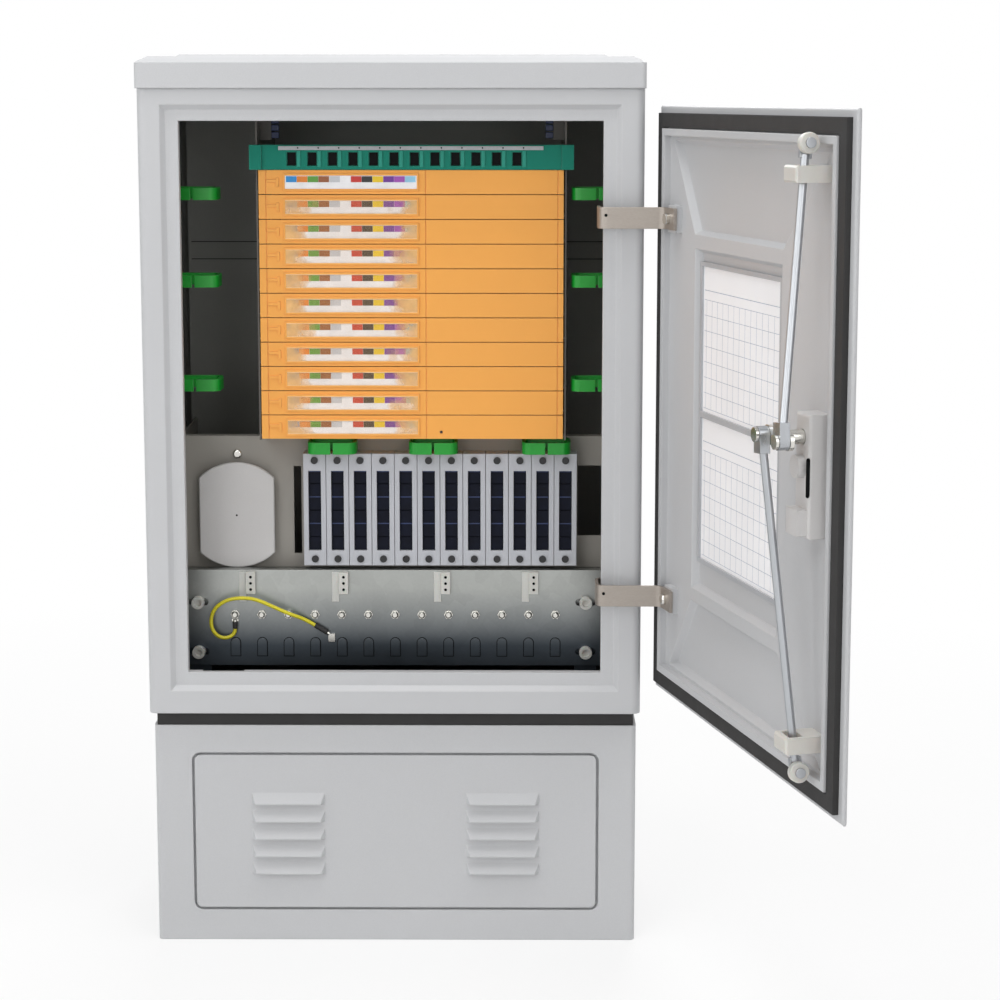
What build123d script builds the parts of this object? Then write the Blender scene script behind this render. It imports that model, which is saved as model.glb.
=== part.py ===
from build123d import *
from math import atan2, cos, degrees, radians, sin
import os

os.makedirs("parts", exist_ok=True)

# Millimetres, +Z up, X to the right of the cabinet's front, Y into the cabinet.
# The origin is the middle of the plinth's footprint on the ground.

# Cabinet body on its plinth: the sizes that the other parts follow
BODY_W, BODY_D, BODY_H = 568, 300, 716
PLINTH_H, NECK_H = 260, 17.5
WALL = 5
EDGE_R = 10
REAR_EDGE_R = 4
BODY_Z0 = PLINTH_H + NECK_H
BODY_TOP = BODY_Z0 + BODY_H
FRONT = -BODY_D / 2
REAR_INNER = BODY_D / 2 - WALL
SIDE_INNER = BODY_W / 2 - WALL
FLOOR_TOP = BODY_Z0 + WALL

# Roof
ROOF_OVER_X, ROOF_OVER_Y = 1, 4
ROOF_W, ROOF_D = BODY_W + ROOF_OVER_X * 2, BODY_D + ROOF_OVER_Y * 2
ROOF_CORNER_R = 5
FASCIA_H = 28.5
ROOF_BEVEL_H, ROOF_BEVEL_TAPER = 7, 63
CROWN_INSET, CROWN_H = 40, 2.5
ROOF_CAVITY_H = 22

# Front frame: a bevelled recess, the seat for the gasket and the opening with its lip
FRAME_T, SEAT_DEPTH = 12, 6
RECESS_SIDE, RECESS_BELOW, RECESS_ABOVE = 26, 26.5, 18
SEAT_SIDE, SEAT_BELOW, SEAT_ABOVE = 31.5, 32, 23.5
OPEN_SIDE, OPEN_BELOW, OPEN_ABOVE = 46, 47.5, 36
RECESS_HALF_W = BODY_W / 2 - RECESS_SIDE
RECESS_Z0, RECESS_Z1 = BODY_Z0 + RECESS_BELOW, BODY_TOP - RECESS_ABOVE
SEAT_HALF_W = BODY_W / 2 - SEAT_SIDE
SEAT_Z0, SEAT_Z1 = BODY_Z0 + SEAT_BELOW, BODY_TOP - SEAT_ABOVE
OPEN_HALF_W = BODY_W / 2 - OPEN_SIDE
OPEN_Z0, OPEN_Z1 = BODY_Z0 + OPEN_BELOW, BODY_TOP - OPEN_ABOVE
LIP_T, LIP_DEPTH = 5, 4
FRAME_BACK = FRONT + FRAME_T

# Cable entries in the floor, each closed by a blind rubber grommet
ENTRY_R, ENTRY_PITCH, ENTRY_COUNT, ENTRY_FROM_REAR = 18, 100, 4, 85
ENTRY_Y = REAR_INNER - ENTRY_FROM_REAR
GROMMET_GAP, GROMMET_FLANGE_R, GROMMET_FLANGE_T = 0.3, 24, 3

# Neck seal and plinth
NECK_IN_X, NECK_IN_Y, NECK_WALL = 7.5, 14, 24
NECK_HALF_W, NECK_HALF_D = BODY_W / 2 - NECK_IN_X, BODY_D / 2 - NECK_IN_Y
PLINTH_IN_X, PLINTH_IN_Y = 4, 12.5
PLINTH_W, PLINTH_D = BODY_W - PLINTH_IN_X * 2, BODY_D - PLINTH_IN_Y * 2
PLINTH_WALL, PLINTH_EDGE_R = 6, 6
FLANGE_T, FLANGE_W = 8, 46
ANCHOR_R, ANCHOR_IN_X, ANCHOR_IN_Y = 7, 28, 27.5
ANCHOR_X, ANCHOR_Y = PLINTH_W / 2 - ANCHOR_IN_X, PLINTH_D / 2 - ANCHOR_IN_Y
PLINTH_FRONT = -PLINTH_D / 2
COVER_SIDE, COVER_Z0, COVER_ABOVE, COVER_R = 43, 36.5, 33, 10
COVER_HALF_W, COVER_Z1 = PLINTH_W / 2 - COVER_SIDE, PLINTH_H - COVER_ABOVE
COVER_GROOVE, COVER_LIP, COVER_LIP_T = 3, 12, 3

# Louvres pressed out of the plinth cover
LOUVRE_COUNT, LOUVRE_PITCH = 5, 21
LOUVRE_SIDE, LOUVRE_DROP = 112, 48.5
LOUVRE_X, LOUVRE_TOP = COVER_HALF_W - LOUVRE_SIDE, COVER_Z1 - LOUVRE_DROP
LOUVRE_W, LOUVRE_H = 85, 13
LOUVRE_OUT, LOUVRE_NOSE_W, LOUVRE_NOSE_H = 7, 76, 2
LOUVRE_SLOT_W, LOUVRE_SLOT_H, LOUVRE_SKIN = 70, 5, 1.6

# Middle plate, spool cover and parking block
MID_SET_BACK, MID_T, MID_SIDE = 120, 2, 17
MID_RISE, MID_H, MID_LIP = 141.5, 159.5, 14
MID_Y, MID_HALF_W = FRONT + MID_SET_BACK, SIDE_INNER - MID_SIDE
MID_Z0 = FLOOR_TOP + MID_RISE
MID_Z1 = MID_Z0 + MID_H
PARK_COUNT, PARK_LEFT, PARK_RIGHT, PARK_SPACE = 12, 164, 63, 0.6
PARK_WINDOW_SHARE = 0.568
PARK_X0 = PARK_LEFT - MID_HALF_W
PARK_PITCH = (MID_HALF_W - PARK_RIGHT - PARK_X0) / (PARK_COUNT - 1)
PARK_W = PARK_PITCH - PARK_SPACE
PARK_WINDOW_W = PARK_W * PARK_WINDOW_SHARE
PARK_BELOW, PARK_ABOVE, PARK_OUT = 7.5, 17.5, 25
PARK_Z0, PARK_Z1, PARK_Y = MID_Z0 + PARK_BELOW, MID_Z1 - PARK_ABOVE, MID_Y - PARK_OUT
PARK_FOOT, PARK_HEAD = 18, 20.5
PARK_WINDOW_Z0, PARK_WINDOW_Z1 = PARK_Z0 + PARK_FOOT, PARK_Z1 - PARK_HEAD
PARK_GAP, PARK_SET_BACK = 0.3, 4
PARK_ROWS, PARK_ROW_GROOVE, PARK_GROOVE_DEPTH = 6, 1.4, 2
PARK_SCREW_R, PARK_SCREW_H, PARK_SCREW_INSET = 4.2, 2.2, 8
LEFT_SLOT_OUT, LEFT_SLOT_W, LEFT_SLOT_BELOW, LEFT_SLOT_ABOVE = 27, 9, 17, 36.5
RIGHT_SLOT_IN, RIGHT_SLOT_W, RIGHT_SLOT_BELOW, RIGHT_SLOT_ABOVE = 48, 29, 39, 35.5
left_slot_x, right_slot_x = PARK_X0 - LEFT_SLOT_OUT, MID_HALF_W - RIGHT_SLOT_IN
MID_SLOTS = (
    (left_slot_x, left_slot_x + LEFT_SLOT_W, MID_Z0 + LEFT_SLOT_BELOW, MID_Z1 - LEFT_SLOT_ABOVE),
    (right_slot_x, right_slot_x + RIGHT_SLOT_W, MID_Z0 + RIGHT_SLOT_BELOW, MID_Z1 - RIGHT_SLOT_ABOVE),
)
SPOOL_SIDE, SPOOL_RISE, SPOOL_R, SPOOL_HALF_W = 70, 66, 63.5, 44.7
SPOOL_X, SPOOL_Z = SPOOL_SIDE - MID_HALF_W, MID_Z0 + SPOOL_RISE
SPOOL_OUT, SPOOL_T, SPOOL_HUB_R, SPOOL_EDGE = 15, 5, 24, 1.2
SPOOL_Y = MID_Y - SPOOL_OUT
SPOOL_SCREW_R, SPOOL_SCREW_ABOVE, SPOOL_SCREW_H, SPOOL_SCREW_ROUND = 5.5, 72, 4, 2.5
SPOOL_SCREW_Z = SPOOL_Z + SPOOL_SCREW_ABOVE

# Rear mounting plate and the rack that the trays slide in
STANDOFF_R, STANDOFF_L, STANDOFF_IN_X, STANDOFF_IN_Z = 8, 24, 28, 40
BACK_PLATE_T, BACK_PLATE_SIDE, BACK_PLATE_RISE, RACK_BELOW_ROOF = 3, 11, 37.5, 11.5
BACK_PLATE_Y = REAR_INNER - STANDOFF_L - BACK_PLATE_T
BACK_PLATE_HALF_W, BACK_PLATE_Z0 = SIDE_INNER - BACK_PLATE_SIDE, FLOOR_TOP + BACK_PLATE_RISE
RACK_GAP, RACK_Z1 = 2, BODY_TOP - RACK_BELOW_ROOF
RACK_Z0 = MID_Z1 + RACK_GAP
STANDOFF_X = BACK_PLATE_HALF_W - STANDOFF_IN_X
STANDOFF_ZS = (BACK_PLATE_Z0 + STANDOFF_IN_Z, (BACK_PLATE_Z0 + RACK_Z1) / 2, RACK_Z1 - STANDOFF_IN_Z)
RACK_LEFT, RACK_RIGHT, RACK_T, RACK_SET_BACK = 119, 80.5, 2, 76
RACK_X0, RACK_X1, RACK_FRONT = RACK_LEFT - SIDE_INNER, SIDE_INNER - RACK_RIGHT, FRONT + RACK_SET_BACK
RUNNER_W, RUNNER_T, RUNNER_GAP = 10.6, 2, 0.3

# Splice trays
TRAY_COUNT, TRAY_SPACE, TRAY_BELOW_ROOF, TRAY_ABOVE_MID = 11, 0.9, 93, 3.5
TRAY_TOP = BODY_TOP - TRAY_BELOW_ROOF
TRAY_PITCH = (TRAY_TOP - MID_Z1 - TRAY_ABOVE_MID) / TRAY_COUNT
TRAY_FACE_H = TRAY_PITCH - TRAY_SPACE
TRAY_SIDE, TRAY_SET_BACK, TRAY_FACE_T = 3.5, 70, 3
TRAY_X0, TRAY_X1, TRAY_FRONT = RACK_X0 + TRAY_SIDE, RACK_X1 - TRAY_SIDE, FRONT + TRAY_SET_BACK
TRAY_BOX_INSET, TRAY_BOX_FROM_REAR, TRAY_BOX_WALL = 5, 19, 2
TRAY_BOX_DEPTH = BACK_PLATE_Y - TRAY_BOX_FROM_REAR - TRAY_FRONT - TRAY_FACE_T
TRAY_BOX_RISE, TRAY_BOX_DROP = 5, 3.6
TRAY_BOX_H = TRAY_FACE_H - TRAY_BOX_RISE - TRAY_BOX_DROP
LABEL_SIDE, LABEL_W, LABEL_MARGIN, LABEL_OUT = 28.5, 156, 3.8, 1.6
LABEL_X0, LABEL_H = TRAY_X0 + LABEL_SIDE, TRAY_FACE_H - LABEL_MARGIN * 2
LABEL_X1 = LABEL_X0 + LABEL_W
LABEL_BORDER, LABEL_POCKET = 2, 1.2
SEAM_W, SEAM_DEPTH = 1, 0.8
SEAM_LEFT, SEAM_BESIDE_LABEL, SEAM_RIGHT = 8, 7.5, 7
SEAM_XS = (TRAY_X0 + SEAM_LEFT, LABEL_X1 + SEAM_BESIDE_LABEL, TRAY_X1 - SEAM_RIGHT)
TICK_SIDE, TICK_W, TICK_H, TICK_OUT = 9.5, 11, 3, 1.5
TICK_X0 = TRAY_X0 + TICK_SIDE
TICK_X1 = TICK_X0 + TICK_W
TICK_POST_W, TICK_POST_H = 3, 10

# Adapter tray above them, with a row of windows and a strip over it
ADAPTER_LEFT, ADAPTER_RIGHT, ADAPTER_GAP = 6.5, 8, 0.5
ADAPTER_X0, ADAPTER_X1 = RACK_X0 - ADAPTER_LEFT, RACK_X1 + ADAPTER_RIGHT
ADAPTER_Z0 = TRAY_TOP + ADAPTER_GAP
ADAPTER_Z1 = ADAPTER_Z0 + TRAY_PITCH
STRIP_SIDE, STRIP_BELOW_TOP, STRIP_H, STRIP_OUT = 27, 1.5, 4.5, 2
STRIP_X0, STRIP_X1, STRIP_Z1 = RACK_X0 + STRIP_SIDE, RACK_X1 - STRIP_SIDE, ADAPTER_Z1 - STRIP_BELOW_TOP
WINDOW_COUNT, WINDOW_LEFT, WINDOW_RIGHT = 12, 15, 30.34
WINDOW_X0 = STRIP_X0 + WINDOW_LEFT
WINDOW_PITCH = (STRIP_X1 - WINDOW_RIGHT - WINDOW_X0) / (WINDOW_COUNT - 1)
WINDOW_POST, WINDOW_RISE, WINDOW_BELOW_STRIP = 12.5, 4.5, 2.5
WINDOW_W, WINDOW_Z0 = WINDOW_PITCH - WINDOW_POST, ADAPTER_Z0 + WINDOW_RISE
WINDOW_Z1 = STRIP_Z1 - STRIP_H - WINDOW_BELOW_STRIP
EAR_W, EAR_OUT = 14, 4
HEAD_FLANGE_W, HEAD_FLANGE_SET_BACK, HEAD_FLANGE_GAP = 15, 110, 4.5
HEAD_FLANGE_Y, HEAD_FLANGE_Z0 = FRONT + HEAD_FLANGE_SET_BACK, ADAPTER_Z1 + HEAD_FLANGE_GAP

# Fibre guide rings
RING_H, RING_WALL, RING_CORNER_R, RING_SLIT = 14, 4, 10, 3
SIDE_RING_PITCH_SHARES = (0.965, 4.509, 8.772)
SIDE_RING_ZS = [TRAY_TOP - TRAY_PITCH * share for share in SIDE_RING_PITCH_SHARES]
SIDE_RING_FROM_WALL, SIDE_RING_SET_BACK, SIDE_RING_W, SIDE_RING_D = 45, 92, 58, 44
SIDE_RING_X, SIDE_RING_Y = SIDE_INNER - SIDE_RING_FROM_WALL, FRONT + SIDE_RING_SET_BACK
LOW_RING_PITCH_SHARES = (0.815, 5.222, 10.148)
LOW_RING_XS = [PARK_X0 + PARK_PITCH * share for share in LOW_RING_PITCH_SHARES]
LOW_RING_W, LOW_RING_D, LOW_RING_BELOW_TOP = 57, 44, 8.5
LOW_RING_Z = MID_Z1 - LOW_RING_BELOW_TOP

# Ground plate, its fittings and the earth wire
PLATE_SET_BACK, PLATE_T, PLATE_LEFT, PLATE_RIGHT = 90, 2, 28, 32
PLATE_RISE, PLATE_H, PLATE_LIP = 28.5, 116, 14
PLATE_Y, PLATE_X0, PLATE_X1 = FRONT + PLATE_SET_BACK, PLATE_LEFT - SIDE_INNER, SIDE_INNER - PLATE_RIGHT
PLATE_Z0 = FLOOR_TOP + PLATE_RISE
PLATE_Z1 = PLATE_Z0 + PLATE_H
STUD_COUNT, STUD_LEFT, STUD_RIGHT, STUD_RISE = 13, 57.4, 59.72, 62.6
STUD_X0, STUD_Z = PLATE_X0 + STUD_LEFT, PLATE_Z0 + STUD_RISE
STUD_PITCH = (PLATE_X1 - STUD_RIGHT - STUD_X0) / (STUD_COUNT - 1)
STUD_NUT_R, STUD_NUT_H, STUD_TIP_R, STUD_TIP_H, STUD_TIP_TAPER = 5.5, 4, 4.2, 3.5, 25
TAB_W, TAB_H, TAB_OUT, TAB_RISE = 11, 21.5, 2, 12
TAB_Z0 = PLATE_Z0 + TAB_RISE
CLIP_SHARES = (0.1259, 0.3474, 0.5904, 0.8002)
CLIP_XS = [PLATE_X0 + (PLATE_X1 - PLATE_X0) * share for share in CLIP_SHARES]
CLIP_STRAP_W, CLIP_STRAP_H, CLIP_STRAP_T = 8.5, 36, 2
CLIP_BLOCK_W, CLIP_BLOCK_H, CLIP_BLOCK_T = 11, 26, 6
CORNER_LEFT, CORNER_RIGHT, CORNER_LOW, CORNER_HIGH = 13.5, 23.5, 16.5, 39
CORNER_XS = (PLATE_X0 + CORNER_LEFT, PLATE_X1 - CORNER_RIGHT)
CORNER_ZS = (PLATE_Z0 + CORNER_LOW, PLATE_Z1 - CORNER_HIGH)
CORNER_HEAD_R, CORNER_HEAD_H, CORNER_DIMPLE_R, CORNER_DIMPLE = 7.5, 7, 4, 2
CORNER_STEM_R, CORNER_SLOT_L, CORNER_SLOT_W = 3.5, 24, 8.4
BRACKET_BEHIND, BRACKET_T, BRACKET_HALF_W = 10, 3, 13
BRACKET_BELOW_TOP, BRACKET_FOOT, STEM_GAP = 17, 40, 0.2
BRACKET_Y, BRACKET_TOP = PLATE_Y + BRACKET_BEHIND, PLATE_Z1 - BRACKET_BELOW_TOP
WIRE_R, SLEEVE_R, WIRE_BEND_R = 2.2, 2.9, 6
LUG_HALF_W, LUG_T, LUG_BARREL = 4, 3, 3
WIRE_OUT, SLEEVE_L, SLEEVE_DROP = 4.6, 8, 9
LUG_ONE_LOW, LUG_ONE_HIGH, LUG_TWO_LOW, LUG_TWO_HIGH = 54, 57, 29, 39
SLEEVE_TWO_PITCH_SHARE, LUG_TWO_PITCH_SHARE = 3.453, 3.611
WIRE_PITCH_SHARES = (0, 0, -0.454, -0.816, -0.895, -0.737, -0.296, 0.239, 0.807, 1.531, 2.098, 2.631, 2.996)
WIRE_OUTS = (WIRE_OUT, WIRE_OUT, 9, 11, 11, 11, 11.5, 12, 12, 10, 12, WIRE_OUT, WIRE_OUT)
WIRE_RISES = (46, 38, 34, 43, 58, 72, 82, 85, 83.5, 72.5, 65, 57.2, 50)
WIRE_ROUTE = [
    (STUD_X0 + STUD_PITCH * share, PLATE_Y - out, PLATE_Z0 + rise)
    for share, out, rise in zip(WIRE_PITCH_SHARES, WIRE_OUTS, WIRE_RISES)
]
wire_start, wire_end = Vector(*WIRE_ROUTE[0]), Vector(*WIRE_ROUTE[-1])
sleeve_x = STUD_X0 + STUD_PITCH * SLEEVE_TWO_PITCH_SHARE
lug_x = STUD_X0 + STUD_PITCH * LUG_TWO_PITCH_SHARE
SLEEVE_ONE = (wire_start, wire_start + Vector(0, 0, SLEEVE_L))
SLEEVE_TWO = (wire_end, Vector(sleeve_x, wire_end.Y, wire_end.Z - SLEEVE_DROP))
LUG_ONE = (STUD_X0, PLATE_Z0 + LUG_ONE_LOW, PLATE_Z0 + LUG_ONE_HIGH)
LUG_TWO = (lug_x, PLATE_Z0 + LUG_TWO_LOW, PLATE_Z0 + LUG_TWO_HIGH)

# Hinges: the pivots stand inside the cabinet, behind the right-hand side of the frame
HINGE_FROM_WALL, HINGE_SET_BACK, HINGE_BELOW_TOP, HINGE_ABOVE_FOOT = 9, 30, 124, 115.5
HINGE_X, HINGE_Y = SIDE_INNER - HINGE_FROM_WALL, FRONT + HINGE_SET_BACK
STRAP_H, STRAP_T, STRAP_BEND_R = 24, 3.5, 9
EYE_R, EYE_BORE_R, PIN_R, PIN_BORE_R = 6, 3.3, 3, 3.05
STRAP_BACK, STRAP_LEFT, STRAP_FORWARD = -4.25, -37, -45
EAR_GAP, EAR_T, EAR_HALF_D, EAR_REACH = 0.4, 3, 6, 6
HINGE_PLATE_T, HINGE_PLATE_HALF_D, HINGE_PLATE_HALF_H = 2.4, 15, 24
BOLT_U, BOLT_R, BOLT_H = 47, 6, 5
STRAP_END_U = 64

# Door, in its own coordinates: u from the hinge edge, z up and n inward from the gasket's face
DOOR_OPEN = 106.2
DOOR_GAP, GASKET_GAP, GASKET_IN_U, GASKET_LOW, GASKET_HIGH, GASKET_W = 1, 0.3, 9.5, 8.5, 8, 16
HINGE_TO_GASKET = HINGE_X - RECESS_HALF_W + DOOR_GAP + GASKET_IN_U
HINGE_TO_FACE = HINGE_SET_BACK - SEAT_DEPTH + GASKET_GAP
DOOR_U0, DOOR_Z0, DOOR_Z1 = -GASKET_IN_U, RECESS_Z0 + DOOR_GAP, RECESS_Z1 - DOOR_GAP
DOOR_U1 = DOOR_U0 + (RECESS_HALF_W - DOOR_GAP) * 2
HINGE_ZS = (DOOR_Z1 - HINGE_BELOW_TOP, DOOR_Z0 + HINGE_ABOVE_FOOT)
FLANGE_N0, FLANGE_N1, BORDER_W, BORDER_BEVEL = -11, -6, 24, 1.5
SHEET_N0, SHEET_N1 = -10, -6
GASKET_U0, GASKET_U1 = 0, DOOR_U1 - GASKET_IN_U
GASKET_Z0, GASKET_Z1 = DOOR_Z0 + GASKET_LOW, DOOR_Z1 - GASKET_HIGH
RIM_GAP, RIM_W, RIM_N1 = 1, 8, 2
EMBOSS, EMBOSS_TAPER, EMBOSS_SKIN = 8, 30, 2.5
FIELD_U0, FIELD_IN_U, FIELD_IN_Z, FIELD_GAP = 30, 33, 26.5, 10
FIELD_U1, FIELD_Z0, FIELD_Z1 = GASKET_U1 - FIELD_IN_U, GASKET_Z0 + FIELD_IN_Z, GASKET_Z1 - FIELD_IN_Z
CENTRE_SHARES, CENTRE_LOW, CENTRE_HIGH = (0.202, 0.693), 104, 116
CENTRE_U0, CENTRE_U1 = [GASKET_U1 * share for share in CENTRE_SHARES]
CENTRE_Z0, CENTRE_Z1 = FIELD_Z0 + CENTRE_LOW, FIELD_Z1 - CENTRE_HIGH
BOSS_U0, BOSS_U1, BOSS_N1, BOSS_HALF_H = 37, 62, 1, 15
CARD_LEFT, CARD_RIGHT, CARD_LOW, CARD_HIGH, CARD_T = 14, 16, 38, 21, 1.5
CARD_RAIL_W, CARD_RAIL_T, CARD_BAR_LOW, CARD_BAR_HIGH = 5, 4, 4.5, 2.5
CARD_U0, CARD_U1 = CENTRE_U0 + CARD_LEFT, CENTRE_U1 - CARD_RIGHT
CARD_Z0, CARD_Z1 = CENTRE_Z0 + CARD_LOW, CENTRE_Z1 - CARD_HIGH
card_middle = (CARD_Z0 + CARD_Z1) / 2
CARD_ZS = ((CARD_Z0, card_middle - CARD_BAR_LOW), (card_middle + CARD_BAR_HIGH, CARD_Z1))

# Lock, its two rods and their rollers
LOCK_IN_U, LOCK_ABOVE_MIDDLE, GUIDE_BELOW_TOP, GUIDE_ABOVE_FOOT = 49, 25, 52.5, 58.5
GUIDE_ZS = (GASKET_Z1 - GUIDE_BELOW_TOP, GASKET_Z0 + GUIDE_ABOVE_FOOT)
LOCK_U, LOCK_Z = GASKET_U1 - LOCK_IN_U, sum(GUIDE_ZS) / 2 + LOCK_ABOVE_MIDDLE
CASE_HALF_W, CASE_LOW, CASE_HIGH, CASE_N1, CASE_EDGE = 16, 96, 22, 16, 3
CASE_Z0, CASE_Z1 = LOCK_Z - CASE_LOW, LOCK_Z + CASE_HIGH
CASE_CYLINDER_R, CASE_CYLINDER_LOW, CASE_CYLINDER_N1 = 11, 28, 24
CASE_FOOT_LOW, CASE_FOOT_N1 = 68, 26
CASE_CYLINDER_Z, CASE_FOOT_Z1 = LOCK_Z - CASE_CYLINDER_LOW, LOCK_Z - CASE_FOOT_LOW
PLATE_HALF_W, ESCUTCHEON_LOW, ESCUTCHEON_HIGH, ESCUTCHEON_T = 24, 108, 32, 3
ESCUTCHEON_Z0, ESCUTCHEON_Z1 = LOCK_Z - ESCUTCHEON_LOW, LOCK_Z + ESCUTCHEON_HIGH
SPINDLE_R, SPINDLE_BORE_R = 7, 7.4
HUB_R, HUB_GAP, HUB_T = 14, 0.3, 6.7
LEVER_L, LEVER_HALF_H, LEVER_T, LEVER_EDGE = 125, 11, 9, 3
CAM_N0, CAM_T, CAM_R, CAM_EYE_R = 38, 4, 24, 9
CAM_PIN_R, CAM_PIN_BORE_R, CAM_PIN_L, CAM_HEAD_R, CAM_HEAD_T = 4, 4.3, 10.6, 7, 3
CLEVIS_T, CLEVIS_GAP, CLEVIS_R, CLEVIS_L = 10, 0.3, 8, 18
ROD_R, ROD_GUIDE_N = 4, 20
GUIDE_HALF_W, GUIDE_HALF_H, GUIDE_N1, GUIDE_EDGE = 15, 8, 34, 2
GUIDE_SLOT_HALF_W, GUIDE_SLOT_HALF_N, GUIDE_SLOT_N = 10.4, 7, 21.3
ROLLER_BEYOND, ROLLER_R, ROLLER_W, ROLLER_BORE_R, ROLLER_EDGE = 28, 10, 8, 3.3, 1
FORK_T, FORK_HALF_D, FORK_L, FORK_BACK = 4, 6, 20, 13.5
AXLE_R, AXLE_HEAD_R, AXLE_HEAD_T = 3, 5, 2
ROLLER_GAP = 0.3
ROLLER_NOTCH_HALF_W = 24

swing = radians(DOOR_OPEN)
across = Vector(-cos(swing), -sin(swing), 0)
inward = Vector(-sin(swing), cos(swing), 0)
door_corner = Vector(HINGE_X, HINGE_Y, 0) + across * HINGE_TO_GASKET - inward * HINGE_TO_FACE
DOOR = Plane(origin=door_corner, x_dir=across, z_dir=inward)


def block(low, high, mode=Mode.ADD):
    """A box between two corners, in the coordinates of the sub-part being built."""
    middle = [(a + b) / 2 for a, b in zip(low, high)]
    with Locations(tuple(middle)):
        Box(*[b - a for a, b in zip(low, high)], mode=mode)


def facing(y):
    """The upright plane at depth y that faces the front; a negative extrusion goes into the cabinet."""
    return Plane.XZ.offset(-y)


def outline(x0, x1, z0, z1):
    """A rectangle between two corners of the sketch being drawn."""
    with Locations(((x0 + x1) / 2, (z0 + z1) / 2)):
        Rectangle(x1 - x0, z1 - z0)


def finish(sub_part, node):
    sub_part.part.label = node
    export_step(sub_part.part, f"parts/{node}.step")


# Roof cap, a bevelled shell that stands on the panels' top edges
with BuildPart() as roof_cap:
    with BuildSketch(Plane.XY.offset(BODY_TOP)):
        RectangleRounded(ROOF_W, ROOF_D, ROOF_CORNER_R)
    extrude(amount=FASCIA_H)
    with BuildSketch(Plane.XY.offset(BODY_TOP + FASCIA_H)):
        RectangleRounded(ROOF_W, ROOF_D, ROOF_CORNER_R)
    extrude(amount=ROOF_BEVEL_H, taper=ROOF_BEVEL_TAPER)
    with BuildSketch(Plane.XY.offset(BODY_TOP + FASCIA_H + ROOF_BEVEL_H)):
        Rectangle(ROOF_W - CROWN_INSET * 2, ROOF_D - CROWN_INSET * 2)
    extrude(amount=CROWN_H, taper=ROOF_BEVEL_TAPER)
    cavity_top = BODY_TOP + ROOF_CAVITY_H
    block((-SIDE_INNER, FRAME_BACK, BODY_TOP), (SIDE_INNER, REAR_INNER, cavity_top), Mode.SUBTRACT)
finish(roof_cap, "roof_cap")

# Front frame with the bevelled recess that the door's gasket closes on
with BuildPart() as front_frame:
    block((-BODY_W / 2, FRONT, BODY_Z0), (BODY_W / 2, FRAME_BACK, BODY_TOP))
    fillet(front_frame.edges().filter_by(Axis.Z).group_by(Axis.Y)[0], EDGE_R)
    with BuildSketch(facing(FRONT)):
        outline(-RECESS_HALF_W, RECESS_HALF_W, RECESS_Z0, RECESS_Z1)
    with BuildSketch(facing(FRONT + SEAT_DEPTH)):
        outline(-SEAT_HALF_W, SEAT_HALF_W, SEAT_Z0, SEAT_Z1)
    loft(mode=Mode.SUBTRACT)
    with BuildSketch(facing(FRAME_BACK)):
        outline(-OPEN_HALF_W - LIP_T, OPEN_HALF_W + LIP_T, OPEN_Z0 - LIP_T, OPEN_Z1 + LIP_T)
    extrude(amount=-LIP_DEPTH)
    lip_back = FRAME_BACK + LIP_DEPTH
    block((-OPEN_HALF_W, FRONT, OPEN_Z0), (OPEN_HALF_W, lip_back, OPEN_Z1), Mode.SUBTRACT)
    notch_x = HINGE_X - HINGE_TO_GASKET - LOCK_U
    for low, high in ((OPEN_Z0 - LIP_T, OPEN_Z0), (OPEN_Z1, OPEN_Z1 + LIP_T)):
        block(
            (notch_x - ROLLER_NOTCH_HALF_W, FRAME_BACK, low),
            (notch_x + ROLLER_NOTCH_HALF_W, lip_back, high),
            Mode.SUBTRACT,
        )
finish(front_frame, "front_frame")

# Side, rear and floor panels
for side, node in ((-1, "left_side_panel"), (1, "right_side_panel")):
    with BuildPart() as side_panel:
        edges_x = sorted((side * SIDE_INNER, side * BODY_W / 2))
        block((edges_x[0], FRAME_BACK, BODY_Z0), (edges_x[1], REAR_INNER, BODY_TOP))
    finish(side_panel, node)

with BuildPart() as rear_panel:
    block((-BODY_W / 2, REAR_INNER, BODY_Z0), (BODY_W / 2, BODY_D / 2, BODY_TOP))
    fillet(rear_panel.edges().filter_by(Axis.Z).group_by(Axis.Y)[-1], REAR_EDGE_R)
finish(rear_panel, "rear_panel")

entries = [((i - (ENTRY_COUNT - 1) / 2) * ENTRY_PITCH, ENTRY_Y) for i in range(ENTRY_COUNT)]
with BuildPart() as floor_panel:
    block((-SIDE_INNER, FRAME_BACK, BODY_Z0), (SIDE_INNER, REAR_INNER, FLOOR_TOP))
    with BuildSketch(Plane.XY.offset(BODY_Z0)):
        with Locations(*entries):
            Circle(ENTRY_R)
    extrude(amount=WALL, mode=Mode.SUBTRACT)
finish(floor_panel, "floor_panel")

with BuildPart() as cable_grommets:
    with BuildSketch(Plane.XY.offset(BODY_Z0)):
        with Locations(*entries):
            Circle(ENTRY_R - GROMMET_GAP)
    extrude(amount=WALL)
    with BuildSketch(Plane.XY.offset(FLOOR_TOP)):
        with Locations(*entries):
            Circle(GROMMET_FLANGE_R)
    extrude(amount=GROMMET_FLANGE_T)
finish(cable_grommets, "cable_grommets")

# Neck seal between the plinth and the body
with BuildPart() as neck_seal:
    with BuildSketch(Plane.XY.offset(PLINTH_H)):
        Rectangle(NECK_HALF_W * 2, NECK_HALF_D * 2)
        Rectangle((NECK_HALF_W - NECK_WALL) * 2, (NECK_HALF_D - NECK_WALL) * 2, mode=Mode.SUBTRACT)
    extrude(amount=NECK_H)
finish(neck_seal, "neck_seal")

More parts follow.
